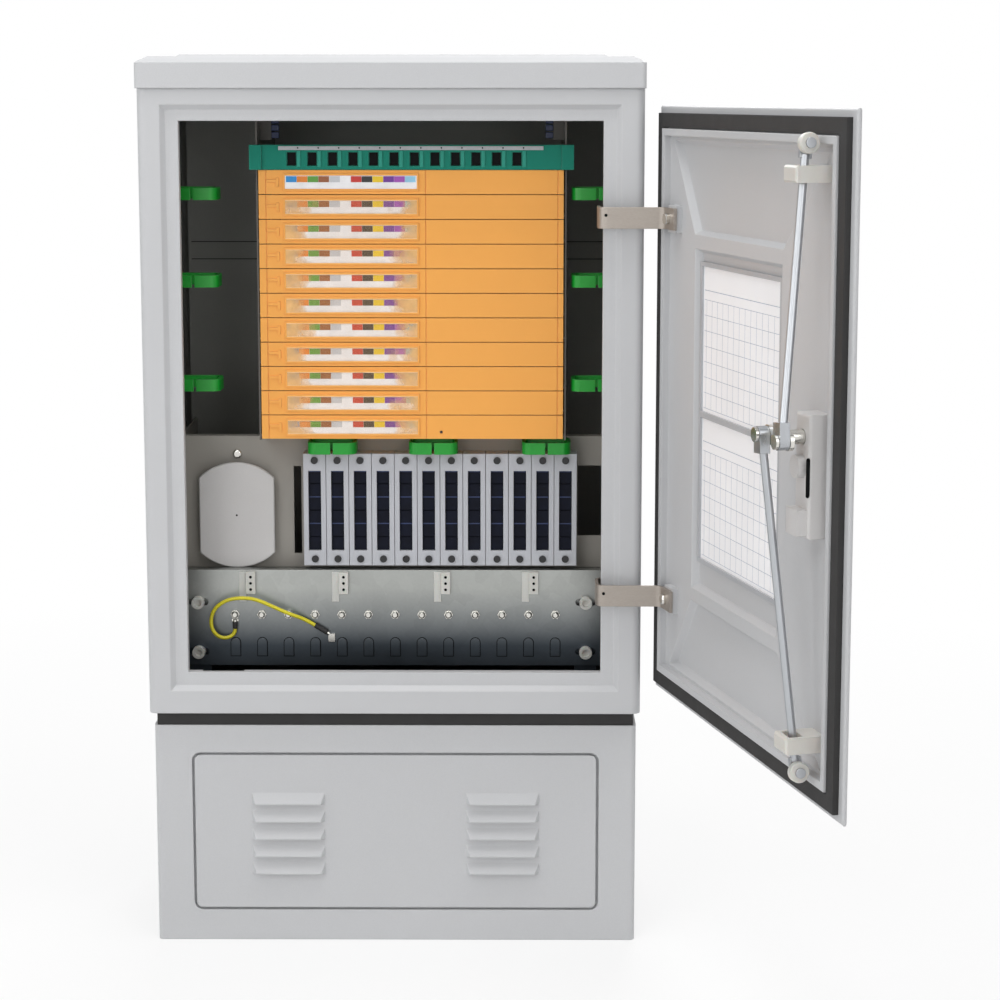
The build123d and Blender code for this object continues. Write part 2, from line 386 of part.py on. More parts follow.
# Plinth: four walls, an inward flange at top and bottom, four anchor holes and a window for the cover
with BuildPart() as plinth:
    with BuildSketch(Plane.XY):
        RectangleRounded(PLINTH_W, PLINTH_D, PLINTH_EDGE_R)
    extrude(amount=PLINTH_H)
    inner_x = PLINTH_W / 2 - PLINTH_WALL
    inner_y = PLINTH_D / 2 - PLINTH_WALL
    block((-inner_x, -inner_y, FLANGE_T), (inner_x, inner_y, PLINTH_H - FLANGE_T), Mode.SUBTRACT)
    mouth_x = PLINTH_W / 2 - FLANGE_W
    mouth_y = PLINTH_D / 2 - FLANGE_W
    block((-mouth_x, -mouth_y, 0), (mouth_x, mouth_y, PLINTH_H), Mode.SUBTRACT)
    with BuildSketch(Plane.XY):
        with GridLocations(ANCHOR_X * 2, ANCHOR_Y * 2, 2, 2):
            Circle(ANCHOR_R)
    extrude(amount=FLANGE_T, mode=Mode.SUBTRACT)
    with BuildSketch(facing(PLINTH_FRONT)):
        with Locations((0, (COVER_Z0 + COVER_Z1) / 2)):
            RectangleRounded(COVER_HALF_W * 2, COVER_Z1 - COVER_Z0, COVER_R)
    extrude(amount=-PLINTH_WALL, mode=Mode.SUBTRACT)
finish(plinth, "plinth")

# Plinth cover, set flush in the window with a groove round it and a lip behind the wall
with BuildPart() as plinth_cover:
    with BuildSketch(facing(PLINTH_FRONT)):
        with Locations((0, (COVER_Z0 + COVER_Z1) / 2)):
            cover_w = (COVER_HALF_W - COVER_GROOVE) * 2
            cover_h = COVER_Z1 - COVER_Z0 - COVER_GROOVE * 2
            RectangleRounded(cover_w, cover_h, COVER_R - COVER_GROOVE)
    extrude(amount=-PLINTH_WALL)
    with BuildSketch(facing(PLINTH_FRONT + PLINTH_WALL)):
        with Locations((0, (COVER_Z0 + COVER_Z1) / 2)):
            Rectangle((COVER_HALF_W + COVER_LIP) * 2, COVER_Z1 - COVER_Z0 + COVER_LIP * 2)
    extrude(amount=-COVER_LIP_T)
    for row in range(LOUVRE_COUNT):
        for column in (-1, 1):
            top = LOUVRE_TOP - row * LOUVRE_PITCH
            low = top - LOUVRE_H
            middle = column * LOUVRE_X
            with BuildSketch(facing(PLINTH_FRONT)):
                outline(middle - LOUVRE_W / 2, middle + LOUVRE_W / 2, low, top)
            with BuildSketch(facing(PLINTH_FRONT - LOUVRE_OUT)):
                outline(middle - LOUVRE_NOSE_W / 2, middle + LOUVRE_NOSE_W / 2, low, low + LOUVRE_NOSE_H)
            loft()
            nose = PLINTH_FRONT - LOUVRE_OUT + LOUVRE_SKIN
            back = PLINTH_FRONT + PLINTH_WALL + COVER_LIP_T
            with BuildSketch(Plane.YZ.offset(middle - LOUVRE_SLOT_W / 2)):
                with BuildLine():
                    Polyline(
                        (nose, low),
                        (PLINTH_FRONT - LOUVRE_SKIN, low),
                        (PLINTH_FRONT, low + LOUVRE_SKIN),
                        (back, low + LOUVRE_SKIN),
                        (back, low + LOUVRE_SKIN + LOUVRE_SLOT_H),
                        (PLINTH_FRONT, low + LOUVRE_SKIN + LOUVRE_SLOT_H),
                        (nose, low + LOUVRE_SKIN / 2),
                        close=True,
                    )
                make_face()
            extrude(amount=LOUVRE_SLOT_W, mode=Mode.SUBTRACT)
finish(plinth_cover, "plinth_cover")

# Rear mounting plate on standoffs
with BuildPart() as rack_back_plate:
    block(
        (-BACK_PLATE_HALF_W, BACK_PLATE_Y, BACK_PLATE_Z0),
        (BACK_PLATE_HALF_W, BACK_PLATE_Y + BACK_PLATE_T, RACK_Z1),
    )
finish(rack_back_plate, "rack_back_plate")

with BuildPart() as rack_standoffs:
    with BuildSketch(facing(REAR_INNER)):
        with Locations(*[(x, z) for x in (-STANDOFF_X, STANDOFF_X) for z in STANDOFF_ZS]):
            Circle(STANDOFF_R)
    extrude(amount=STANDOFF_L)
finish(rack_standoffs, "rack_standoffs")

# Tray rack: two upright plates with a runner under each tray
tray_floors = [TRAY_TOP - TRAY_PITCH * i - TRAY_FACE_H for i in range(TRAY_COUNT)]
with BuildPart() as tray_rack:
    for edge, step in ((RACK_X0, 1), (RACK_X1, -1)):
        inner_x = edge + step * RACK_T
        runner_x = edge + step * RUNNER_W
        flange_x = edge + step * HEAD_FLANGE_W
        block((min(edge, inner_x), RACK_FRONT, RACK_Z0), (max(edge, inner_x), BACK_PLATE_Y, RACK_Z1))
        for floor in tray_floors + [ADAPTER_Z0]:
            top = floor + TRAY_BOX_RISE - RUNNER_GAP
            low_x, high_x = sorted((inner_x, runner_x))
            block((low_x, RACK_FRONT, top - RUNNER_T), (high_x, BACK_PLATE_Y, top))
        low_x, high_x = sorted((inner_x, flange_x))
        block((low_x, HEAD_FLANGE_Y, HEAD_FLANGE_Z0), (high_x, HEAD_FLANGE_Y + RACK_T, RACK_Z1))
finish(tray_rack, "tray_rack")


def tray_box(x0, x1, floor):
    """The open box behind a tray's face, which rides on the runners."""
    low = floor + TRAY_BOX_RISE
    start = TRAY_FRONT + TRAY_FACE_T
    wall = TRAY_BOX_WALL
    block((x0, start, low), (x1, start + TRAY_BOX_DEPTH, low + TRAY_BOX_H))
    high = low + TRAY_BOX_H
    end = start + TRAY_BOX_DEPTH
    block((x0 + wall, start + wall, low + wall), (x1 - wall, end - wall, high), Mode.SUBTRACT)


# Splice trays, each a face with a label holder and an open box behind it
for i, floor in enumerate(tray_floors):
    middle = floor + TRAY_FACE_H / 2
    with BuildPart() as tray:
        block((TRAY_X0, TRAY_FRONT, floor), (TRAY_X1, TRAY_FRONT + TRAY_FACE_T, floor + TRAY_FACE_H))
        for seam in SEAM_XS:
            block(
                (seam, TRAY_FRONT, floor),
                (seam + SEAM_W, TRAY_FRONT + SEAM_DEPTH, floor + TRAY_FACE_H),
                Mode.SUBTRACT,
            )
        block(
            (LABEL_X0, TRAY_FRONT - LABEL_OUT, middle - LABEL_H / 2),
            (LABEL_X1, TRAY_FRONT, middle + LABEL_H / 2),
        )
        pocket_h = LABEL_H / 2 - LABEL_BORDER
        block(
            (LABEL_X0 + LABEL_BORDER, TRAY_FRONT - LABEL_OUT, middle - pocket_h),
            (LABEL_X1 - LABEL_BORDER, TRAY_FRONT - LABEL_OUT + LABEL_POCKET, middle + pocket_h),
            Mode.SUBTRACT,
        )
        block((TICK_X0, TRAY_FRONT - TICK_OUT, middle), (TICK_X1, TRAY_FRONT, middle + TICK_H))
        block(
            (TICK_X1, TRAY_FRONT - TICK_OUT, middle - TICK_POST_H / 2),
            (TICK_X1 + TICK_POST_W, TRAY_FRONT, middle + TICK_POST_H / 2),
        )
        tray_box(TRAY_X0 + TRAY_BOX_INSET, TRAY_X1 - TRAY_BOX_INSET, floor)
    finish(tray, f"tray_{i + 1:02d}")

# Adapter tray with a row of windows in its face, and the strip above them
windows = [WINDOW_X0 + WINDOW_PITCH * i for i in range(WINDOW_COUNT)]
with BuildPart() as adapter_tray:
    face_back = TRAY_FRONT + TRAY_FACE_T
    block((ADAPTER_X0, TRAY_FRONT, ADAPTER_Z0), (ADAPTER_X1, face_back, ADAPTER_Z1))
    with BuildSketch(facing(TRAY_FRONT)):
        for x in windows:
            outline(x - WINDOW_W / 2, x + WINDOW_W / 2, WINDOW_Z0, WINDOW_Z1)
    extrude(amount=-TRAY_FACE_T, mode=Mode.SUBTRACT)
    for x0 in (ADAPTER_X0, ADAPTER_X1 - EAR_W):
        block((x0, TRAY_FRONT - EAR_OUT, ADAPTER_Z0), (x0 + EAR_W, TRAY_FRONT, ADAPTER_Z1))
    tray_box(TRAY_X0 + TRAY_BOX_INSET, TRAY_X1 - TRAY_BOX_INSET, ADAPTER_Z0)
finish(adapter_tray, "adapter_tray")

with BuildPart() as adapter_strip:
    block((STRIP_X0, TRAY_FRONT - STRIP_OUT, STRIP_Z1 - STRIP_H), (STRIP_X1, TRAY_FRONT, STRIP_Z1))
finish(adapter_strip, "adapter_strip")

# Fibre guide rings: slit loops on the side walls and on the middle plate
with BuildPart() as fibre_rings:
    for z in SIDE_RING_ZS:
        for side in (-1, 1):
            with BuildSketch(Plane.XY.offset(z - RING_H / 2)):
                with Locations((side * SIDE_RING_X, SIDE_RING_Y)):
                    RectangleRounded(SIDE_RING_W, SIDE_RING_D, RING_CORNER_R)
                    inner_w = SIDE_RING_W - RING_WALL * 2
                    inner_d = SIDE_RING_D - RING_WALL * 2
                    RectangleRounded(inner_w, inner_d, RING_CORNER_R - RING_WALL, mode=Mode.SUBTRACT)
                ring_end = SIDE_RING_X + SIDE_RING_W / 2 - RING_WALL / 2
                stem_x = sorted((side * ring_end, side * SIDE_INNER))
                outline(stem_x[0], stem_x[1], SIDE_RING_Y - RING_WALL, SIDE_RING_Y + RING_WALL)
                slit_y = SIDE_RING_Y - SIDE_RING_D / 2
                with Locations((side * SIDE_RING_X, slit_y)):
                    Rectangle(RING_SLIT, RING_WALL * 2, mode=Mode.SUBTRACT)
            extrude(amount=RING_H)
    for x in LOW_RING_XS:
        with BuildSketch(Plane.XY.offset(LOW_RING_Z - RING_H / 2)):
            with Locations((x, MID_Y - LOW_RING_D / 2)):
                RectangleRounded(LOW_RING_W, LOW_RING_D, RING_CORNER_R)
                inner_w = LOW_RING_W - RING_WALL * 2
                inner_d = LOW_RING_D - RING_WALL * 2
                RectangleRounded(inner_w, inner_d, RING_CORNER_R - RING_WALL, mode=Mode.SUBTRACT)
            with Locations((x, MID_Y - LOW_RING_D)):
                Rectangle(RING_SLIT, RING_WALL * 2, mode=Mode.SUBTRACT)
        extrude(amount=RING_H)
finish(fibre_rings, "fibre_rings")

# Middle plate, folded back at the top and at both ends
with BuildPart() as mid_plate:
    block((-MID_HALF_W, MID_Y, MID_Z0), (MID_HALF_W, MID_Y + MID_T, MID_Z1))
    block((-MID_HALF_W, MID_Y, MID_Z1 - MID_T), (MID_HALF_W, MID_Y + MID_LIP, MID_Z1))
    for x0 in (-MID_HALF_W, MID_HALF_W - MID_T):
        block((x0, MID_Y, MID_Z0), (x0 + MID_T, BACK_PLATE_Y, MID_Z1))
    for x0, x1, z0, z1 in MID_SLOTS:
        block((x0, MID_Y, z0), (x1, MID_Y + MID_T, z1), Mode.SUBTRACT)
finish(mid_plate, "mid_plate")

# Spool cover: a disc with two flat sides on a hub
with BuildPart() as spool_cover:
    with BuildSketch(facing(SPOOL_Y)):
        with Locations((SPOOL_X, SPOOL_Z)):
            Circle(SPOOL_R)
            Rectangle(SPOOL_HALF_W * 2, SPOOL_R * 2, mode=Mode.INTERSECT)
    extrude(amount=-SPOOL_T)
    chamfer(spool_cover.faces().sort_by(Axis.Y)[0].edges(), SPOOL_EDGE)
    with BuildSketch(facing(SPOOL_Y + SPOOL_T)):
        with Locations((SPOOL_X, SPOOL_Z)):
            Circle(SPOOL_HUB_R)
    extrude(amount=SPOOL_Y + SPOOL_T - MID_Y)
finish(spool_cover, "spool_cover")

with BuildPart() as spool_screw:
    with BuildSketch(facing(MID_Y)):
        with Locations((SPOOL_X, SPOOL_SCREW_Z)):
            Circle(SPOOL_SCREW_R)
    extrude(amount=SPOOL_SCREW_H)
    fillet(spool_screw.faces().sort_by(Axis.Y)[0].edges(), SPOOL_SCREW_ROUND)
finish(spool_screw, "spool_screw")

# Parking block: framed modules side by side, each with a column of adapters
park_xs = [PARK_X0 + PARK_PITCH * i for i in range(PARK_COUNT)]
with BuildPart() as parking_frames:
    for x in park_xs:
        block((x - PARK_W / 2, PARK_Y, PARK_Z0), (x + PARK_W / 2, MID_Y, PARK_Z1))
        block(
            (x - PARK_WINDOW_W / 2, PARK_Y, PARK_WINDOW_Z0),
            (x + PARK_WINDOW_W / 2, MID_Y, PARK_WINDOW_Z1),
            Mode.SUBTRACT,
        )
finish(parking_frames, "parking_frames")

with BuildPart() as parking_adapters:
    half_w = PARK_WINDOW_W / 2 - PARK_GAP
    face_y = PARK_Y + PARK_SET_BACK
    row_h = (PARK_WINDOW_Z1 - PARK_WINDOW_Z0) / PARK_ROWS
    for x in park_xs:
        low, high = PARK_WINDOW_Z0 + PARK_GAP, PARK_WINDOW_Z1 - PARK_GAP
        block((x - half_w, face_y, low), (x + half_w, MID_Y, high))
        for row in range(1, PARK_ROWS):
            z = PARK_WINDOW_Z0 + row * row_h
            block(
                (x - half_w, face_y, z - PARK_ROW_GROOVE / 2),
                (x + half_w, face_y + PARK_GROOVE_DEPTH, z + PARK_ROW_GROOVE / 2),
                Mode.SUBTRACT,
            )
finish(parking_adapters, "parking_adapters")

with BuildPart() as parking_screws:
    with BuildSketch(facing(PARK_Y)):
        screw_zs = (PARK_Z0 + PARK_SCREW_INSET, PARK_Z1 - PARK_SCREW_INSET)
        with Locations(*[(x, z) for x in park_xs for z in screw_zs]):
            Circle(PARK_SCREW_R)
    extrude(amount=PARK_SCREW_H)
finish(parking_screws, "parking_screws")

# Ground plate with its folded top edge, lanced tabs and corner slots
studs = [(STUD_X0 + STUD_PITCH * i, STUD_Z) for i in range(STUD_COUNT)]
corners = [(x, z) for x in CORNER_XS for z in CORNER_ZS]
with BuildPart() as ground_plate:
    block((PLATE_X0, PLATE_Y, PLATE_Z0), (PLATE_X1, PLATE_Y + PLATE_T, PLATE_Z1))
    block((PLATE_X0, PLATE_Y, PLATE_Z1 - PLATE_T), (PLATE_X1, PLATE_Y + PLATE_LIP, PLATE_Z1))
    with BuildSketch(facing(PLATE_Y)):
        for x, z in studs:
            outline(x - TAB_W / 2, x + TAB_W / 2, TAB_Z0, TAB_Z0 + TAB_H - TAB_W / 2)
            with Locations((x, TAB_Z0 + TAB_H - TAB_W / 2)):
                Circle(TAB_W / 2)
    extrude(amount=TAB_OUT)
    with BuildSketch(facing(PLATE_Y)):
        with Locations(*corners):
            SlotOverall(CORNER_SLOT_L, CORNER_SLOT_W)
    extrude(amount=-PLATE_T, mode=Mode.SUBTRACT)
finish(ground_plate, "ground_plate")

with BuildPart() as ground_studs:
    with BuildSketch(facing(PLATE_Y)):
        with Locations(*studs):
            RegularPolygon(STUD_NUT_R, 6)
    extrude(amount=STUD_NUT_H)
    with BuildSketch(facing(PLATE_Y - STUD_NUT_H)):
        with Locations(*studs):
            Circle(STUD_TIP_R)
    extrude(amount=STUD_TIP_H, taper=STUD_TIP_TAPER)
finish(ground_studs, "ground_studs")

# Brackets that carry the ground plate, and the insulating bolts between them
with BuildPart() as ground_brackets:
    for x in CORNER_XS:
        block(
            (x - BRACKET_HALF_W, BRACKET_Y, FLOOR_TOP),
            (x + BRACKET_HALF_W, BRACKET_Y + BRACKET_T, BRACKET_TOP),
        )
        block(
            (x - BRACKET_HALF_W, BRACKET_Y, FLOOR_TOP),
            (x + BRACKET_HALF_W, BRACKET_Y + BRACKET_FOOT, FLOOR_TOP + BRACKET_T),
        )
    with BuildSketch(facing(BRACKET_Y)):
        with Locations(*corners):
            Circle(CORNER_STEM_R + STEM_GAP)
    extrude(amount=-BRACKET_T, mode=Mode.SUBTRACT)
finish(ground_brackets, "ground_brackets")

with BuildPart() as insulating_bolts:
    with BuildSketch(facing(PLATE_Y - CORNER_HEAD_H)):
        with Locations(*corners):
            Circle(CORNER_HEAD_R)
    extrude(amount=-CORNER_HEAD_H)
    with BuildSketch(facing(PLATE_Y - CORNER_HEAD_H)):
        with Locations(*corners):
            Circle(CORNER_DIMPLE_R)
    extrude(amount=-CORNER_DIMPLE, mode=Mode.SUBTRACT)
    with BuildSketch(facing(PLATE_Y)):
        with Locations(*corners):
            Circle(CORNER_STEM_R)
    extrude(amount=PLATE_Y - BRACKET_Y - BRACKET_T)
    with BuildSketch(facing(PLATE_Y + PLATE_T)):
        with Locations(*corners):
            Circle(CORNER_HEAD_R)
    extrude(amount=PLATE_Y + PLATE_T - BRACKET_Y)
finish(insulating_bolts, "insulating_bolts")

# Clips that hang on the ground plate's top edge
with BuildPart() as plate_clips:
    top = PLATE_Z1 - PLATE_T
    for x in CLIP_XS:
        block((x, PLATE_Y - CLIP_STRAP_T, top - CLIP_STRAP_H), (x + CLIP_STRAP_W, PLATE_Y, top))
        block(
            (x + CLIP_STRAP_W, PLATE_Y - CLIP_BLOCK_T, top - CLIP_BLOCK_H),
            (x + CLIP_STRAP_W + CLIP_BLOCK_W, PLATE_Y, top),
        )
finish(plate_clips, "plate_clips")

# Earth wire between two crimped lugs, with a sleeve at each end
with BuildPart() as earth_wire:
    with BuildLine() as wire_path:
        FilletPolyline(*WIRE_ROUTE, radius=WIRE_BEND_R)
    with BuildSketch(Plane(origin=wire_path.line @ 0, z_dir=wire_path.line % 0)):
        Circle(WIRE_R)
    sweep(path=wire_path.line)
finish(earth_wire, "earth_wire")


def rod_between(start, end, radius):
    """A round bar from one point to another."""
    along = end - start
    with Locations(Plane(origin=start, z_dir=along)):
        Cylinder(radius, along.length, align=(Align.CENTER, Align.CENTER, Align.MIN))


with BuildPart() as earth_sleeves:
    rod_between(*SLEEVE_ONE, SLEEVE_R)
    rod_between(*SLEEVE_TWO, SLEEVE_R)
finish(earth_sleeves, "earth_sleeves")

with BuildPart() as earth_lugs:
    for (x, z0, z1), (tail, tip) in ((LUG_ONE, SLEEVE_ONE), (LUG_TWO, SLEEVE_TWO)):
        along = (tip - tail).normalized()
        rod_between(tip, tip + along * LUG_BARREL, WIRE_R)
        block((x - LUG_HALF_W, PLATE_Y - LUG_T, z0), (x + LUG_HALF_W, PLATE_Y, z1))
finish(earth_lugs, "earth_lugs")

# Hinge brackets on the right side panel, with their pins
with BuildPart() as hinge_brackets:
    for z in HINGE_ZS:
        plate_x = SIDE_INNER - HINGE_PLATE_T
        block(
            (plate_x, HINGE_Y - HINGE_PLATE_HALF_D, z - HINGE_PLATE_HALF_H),
            (SIDE_INNER, HINGE_Y + HINGE_PLATE_HALF_D, z + HINGE_PLATE_HALF_H),
        )
        for low in (z + STRAP_H / 2 + EAR_GAP, z - STRAP_H / 2 - EAR_GAP - EAR_T):
            ear_y0, ear_y1 = HINGE_Y - EAR_HALF_D, HINGE_Y + EAR_HALF_D
            block((HINGE_X - EAR_REACH, ear_y0, low), (plate_x, ear_y1, low + EAR_T))
        with BuildSketch(Plane.XY.offset(z - HINGE_PLATE_HALF_H)):
            with Locations((HINGE_X, HINGE_Y)):
                Circle(PIN_BORE_R)
        extrude(amount=HINGE_PLATE_HALF_H * 2, mode=Mode.SUBTRACT)
finish(hinge_brackets, "hinge_brackets")

with BuildPart() as hinge_pins:
    for z in HINGE_ZS:
        half_l = STRAP_H / 2 + EAR_GAP + EAR_T * 2
        with BuildSketch(Plane.XY.offset(z - half_l)):
            with Locations((HINGE_X, HINGE_Y)):
                Circle(PIN_R)
        extrude(amount=half_l * 2)
finish(hinge_pins, "hinge_pins")

# Hinge straps: from an eye on the pin, round the edge of the frame, to the inside of the door
strap_n = BOSS_N1 + STRAP_T / 2
bend_u = (HINGE_Y + STRAP_FORWARD - door_corner.Y - strap_n * inward.Y) / across.Y
bend = DOOR.from_local_coords((bend_u, 0, strap_n))
strap_end = DOOR.from_local_coords((STRAP_END_U, 0, strap_n))
with BuildPart() as hinge_straps:
    for z in HINGE_ZS:
        with BuildSketch(Plane.XY.offset(z - STRAP_H / 2)):
            with BuildLine():
                FilletPolyline(
                    (HINGE_X, HINGE_Y + STRAP_BACK),
                    (HINGE_X + STRAP_LEFT, HINGE_Y + STRAP_BACK),
                    (HINGE_X + STRAP_LEFT, HINGE_Y + STRAP_FORWARD),
                    (bend.X, bend.Y),
                    (strap_end.X, strap_end.Y),
                    radius=STRAP_BEND_R,
                )
            trace(line_width=STRAP_T)
            with Locations((HINGE_X, HINGE_Y)):
                Circle(EYE_R)
                Circle(EYE_BORE_R, mode=Mode.SUBTRACT)
        extrude(amount=STRAP_H)
finish(hinge_straps, "hinge_straps")

with BuildPart() as hinge_bolts:
    with BuildSketch(DOOR.offset(BOSS_N1 + STRAP_T)):
        with Locations(*[(BOLT_U, z) for z in HINGE_ZS]):
            Circle(BOLT_R)
    extrude(amount=BOLT_H)
    fillet(hinge_bolts.faces().sort_by(Axis(door_corner, inward))[-1].edges(), BOLT_H / 2)
finish(hinge_bolts, "hinge_bolts")


def ring(u0, u1, z0, z1, width):
    """A rectangular band of one width, drawn inside the given outline."""
    outline(u0, u1, z0, z1)
    with Locations(((u0 + u1) / 2, (z0 + z1) / 2)):
        Rectangle(u1 - u0 - width * 2, z1 - z0 - width * 2, mode=Mode.SUBTRACT)


def door_field(points, inset):
    """One embossed field of the door as a closed outline, moved in by an inset."""
    Polygon(*points, align=None)
    if inset:
        offset(amount=-inset, kind=Kind.INTERSECTION)


# Door panel: a border, a thin sheet, three embossed fields, an inner rim and two hinge bosses
door_fields = [
    [
        (CENTRE_U0, CENTRE_Z1 + FIELD_GAP),
        (CENTRE_U1, CENTRE_Z1 + FIELD_GAP),
        (FIELD_U1, FIELD_Z1),
        (FIELD_U0, FIELD_Z1),
    ],
    [(CENTRE_U0, CENTRE_Z0), (CENTRE_U1, CENTRE_Z0), (CENTRE_U1, CENTRE_Z1), (CENTRE_U0, CENTRE_Z1)],
    [
        (FIELD_U0, FIELD_Z0),
        (FIELD_U1, FIELD_Z0),
        (CENTRE_U1, CENTRE_Z0 - FIELD_GAP),
        (CENTRE_U0, CENTRE_Z0 - FIELD_GAP),
    ],
]
rim_inset = GASKET_W + RIM_GAP
with BuildPart(DOOR) as door_panel:
    block((DOOR_U0, DOOR_Z0, FLANGE_N0), (DOOR_U1, DOOR_Z1, FLANGE_N1))
    chamfer(door_panel.faces().sort_by(Axis(door_corner, inward))[-1].edges(), BORDER_BEVEL)
    chamfer(door_panel.faces().sort_by(Axis(door_corner, inward))[0].edges(), BORDER_BEVEL)
    block(
        (DOOR_U0 + BORDER_W, DOOR_Z0 + BORDER_W, FLANGE_N0),
        (DOOR_U1 - BORDER_W, DOOR_Z1 - BORDER_W, SHEET_N0),
        Mode.SUBTRACT,
    )
    with BuildSketch(DOOR.offset(SHEET_N1)):
        rim_z0, rim_z1 = GASKET_Z0 + rim_inset, GASKET_Z1 - rim_inset
        ring(GASKET_U0 + rim_inset, GASKET_U1 - rim_inset, rim_z0, rim_z1, RIM_W)
    extrude(amount=RIM_N1 - SHEET_N1)
    for points in door_fields:
        with BuildSketch(DOOR.offset(SHEET_N0)):
            door_field(points, 0)
        extrude(amount=-EMBOSS, taper=EMBOSS_TAPER)
        with BuildSketch(DOOR.offset(SHEET_N1)):
            door_field(points, EMBOSS_SKIN)
        extrude(amount=-EMBOSS, taper=EMBOSS_TAPER, mode=Mode.SUBTRACT)
    for z in HINGE_ZS:
        block((BOSS_U0, z - BOSS_HALF_H, SHEET_N1), (BOSS_U1, z + BOSS_HALF_H, BOSS_N1))
    with BuildSketch(DOOR.offset(FLANGE_N0)):
        with Locations((LOCK_U, LOCK_Z)):
            Circle(SPINDLE_BORE_R)
    extrude(amount=FLANGE_N1 - FLANGE_N0, mode=Mode.SUBTRACT)
finish(door_panel, "door_panel")

with BuildPart() as door_gasket:
    with BuildSketch(DOOR.offset(SHEET_N1)):
        ring(GASKET_U0, GASKET_U1, GASKET_Z0, GASKET_Z1, GASKET_W)
    extrude(amount=-SHEET_N1)
finish(door_gasket, "door_gasket")

# Record cards in a holder on the middle field
card_n = SHEET_N1 - EMBOSS
with BuildPart(DOOR) as record_cards:
    for z0, z1 in CARD_ZS:
        block((CARD_U0, z0, card_n), (CARD_U1, z1, card_n + CARD_T))
finish(record_cards, "record_cards")

with BuildPart(DOOR) as card_holder:
    low, high = CARD_ZS[0][0] - CARD_RAIL_W, CARD_ZS[-1][1] + CARD_RAIL_W
    block((CARD_U0 - CARD_RAIL_W, low, card_n), (CARD_U1 + CARD_RAIL_W, high, card_n + CARD_RAIL_T))
    for z0, z1 in CARD_ZS:
        block((CARD_U0, z0, card_n), (CARD_U1, z1, card_n + CARD_RAIL_T), Mode.SUBTRACT)
finish(card_holder, "card_holder")

# Rod guides: blocks with a wide slot, because the rods sway as the cam turns
with BuildPart(DOOR) as rod_guides:
    for z in GUIDE_ZS:
        block(
            (LOCK_U - GUIDE_HALF_W, z - GUIDE_HALF_H, SHEET_N1),
            (LOCK_U + GUIDE_HALF_W, z + GUIDE_HALF_H, GUIDE_N1),
        )
        block(
            (LOCK_U - GUIDE_SLOT_HALF_W, z - GUIDE_HALF_H, GUIDE_SLOT_N - GUIDE_SLOT_HALF_N),
            (LOCK_U + GUIDE_SLOT_HALF_W, z + GUIDE_HALF_H, GUIDE_SLOT_N + GUIDE_SLOT_HALF_N),
            Mode.SUBTRACT,
        )
    chamfer(rod_guides.faces().sort_by(Axis(door_corner, inward))[-2:].edges(), GUIDE_EDGE)
finish(rod_guides, "rod_guides")

# Lock case inside the door and escutcheon outside
with BuildPart(DOOR) as lock_case:
    block((LOCK_U - CASE_HALF_W, CASE_Z0, SHEET_N1), (LOCK_U + CASE_HALF_W, CASE_Z1, CASE_N1))
    fillet(lock_case.faces().sort_by(Axis(door_corner, inward))[-1].edges(), CASE_EDGE)
    with BuildSketch(DOOR.offset(CASE_N1)):
        with Locations((LOCK_U, CASE_CYLINDER_Z)):
            Circle(CASE_CYLINDER_R)
    extrude(amount=CASE_CYLINDER_N1 - CASE_N1)
    foot_half_w = CASE_HALF_W - CASE_EDGE
    foot_z0 = CASE_Z0 + CASE_EDGE
    block((LOCK_U - foot_half_w, foot_z0, CASE_N1), (LOCK_U + foot_half_w, CASE_FOOT_Z1, CASE_FOOT_N1))
    with BuildSketch(DOOR.offset(SHEET_N1)):
        with Locations((LOCK_U, LOCK_Z)):
            Circle(SPINDLE_BORE_R)
    extrude(amount=CASE_N1 - SHEET_N1, mode=Mode.SUBTRACT)
finish(lock_case, "lock_case")

with BuildPart(DOOR) as lock_escutcheon:
    block(
        (LOCK_U - PLATE_HALF_W, ESCUTCHEON_Z0, SHEET_N0 - ESCUTCHEON_T),
        (LOCK_U + PLATE_HALF_W, ESCUTCHEON_Z1, SHEET_N0),
    )
    with BuildSketch(DOOR.offset(SHEET_N0 - ESCUTCHEON_T)):
        with Locations((LOCK_U, LOCK_Z)):
            Circle(SPINDLE_BORE_R)
    extrude(amount=ESCUTCHEON_T, mode=Mode.SUBTRACT)
finish(lock_escutcheon, "lock_escutcheon")

# Outside handle on the spindle, lying level while the lock is open
hub_n1 = SHEET_N0 - ESCUTCHEON_T - HUB_GAP
hub_n0 = hub_n1 - HUB_T
with BuildPart(DOOR) as lock_handle:
    block(
        (LOCK_U - LEVER_L, LOCK_Z - LEVER_HALF_H, hub_n0 - LEVER_T),
        (LOCK_U + LEVER_HALF_H, LOCK_Z + LEVER_HALF_H, hub_n0),
    )
    fillet(lock_handle.faces().sort_by(Axis(door_corner, inward))[0].edges(), LEVER_EDGE)
    with BuildSketch(DOOR.offset(hub_n0)):
        with Locations((LOCK_U, LOCK_Z)):
            Circle(HUB_R)
    extrude(amount=HUB_T)
finish(lock_handle, "lock_handle")

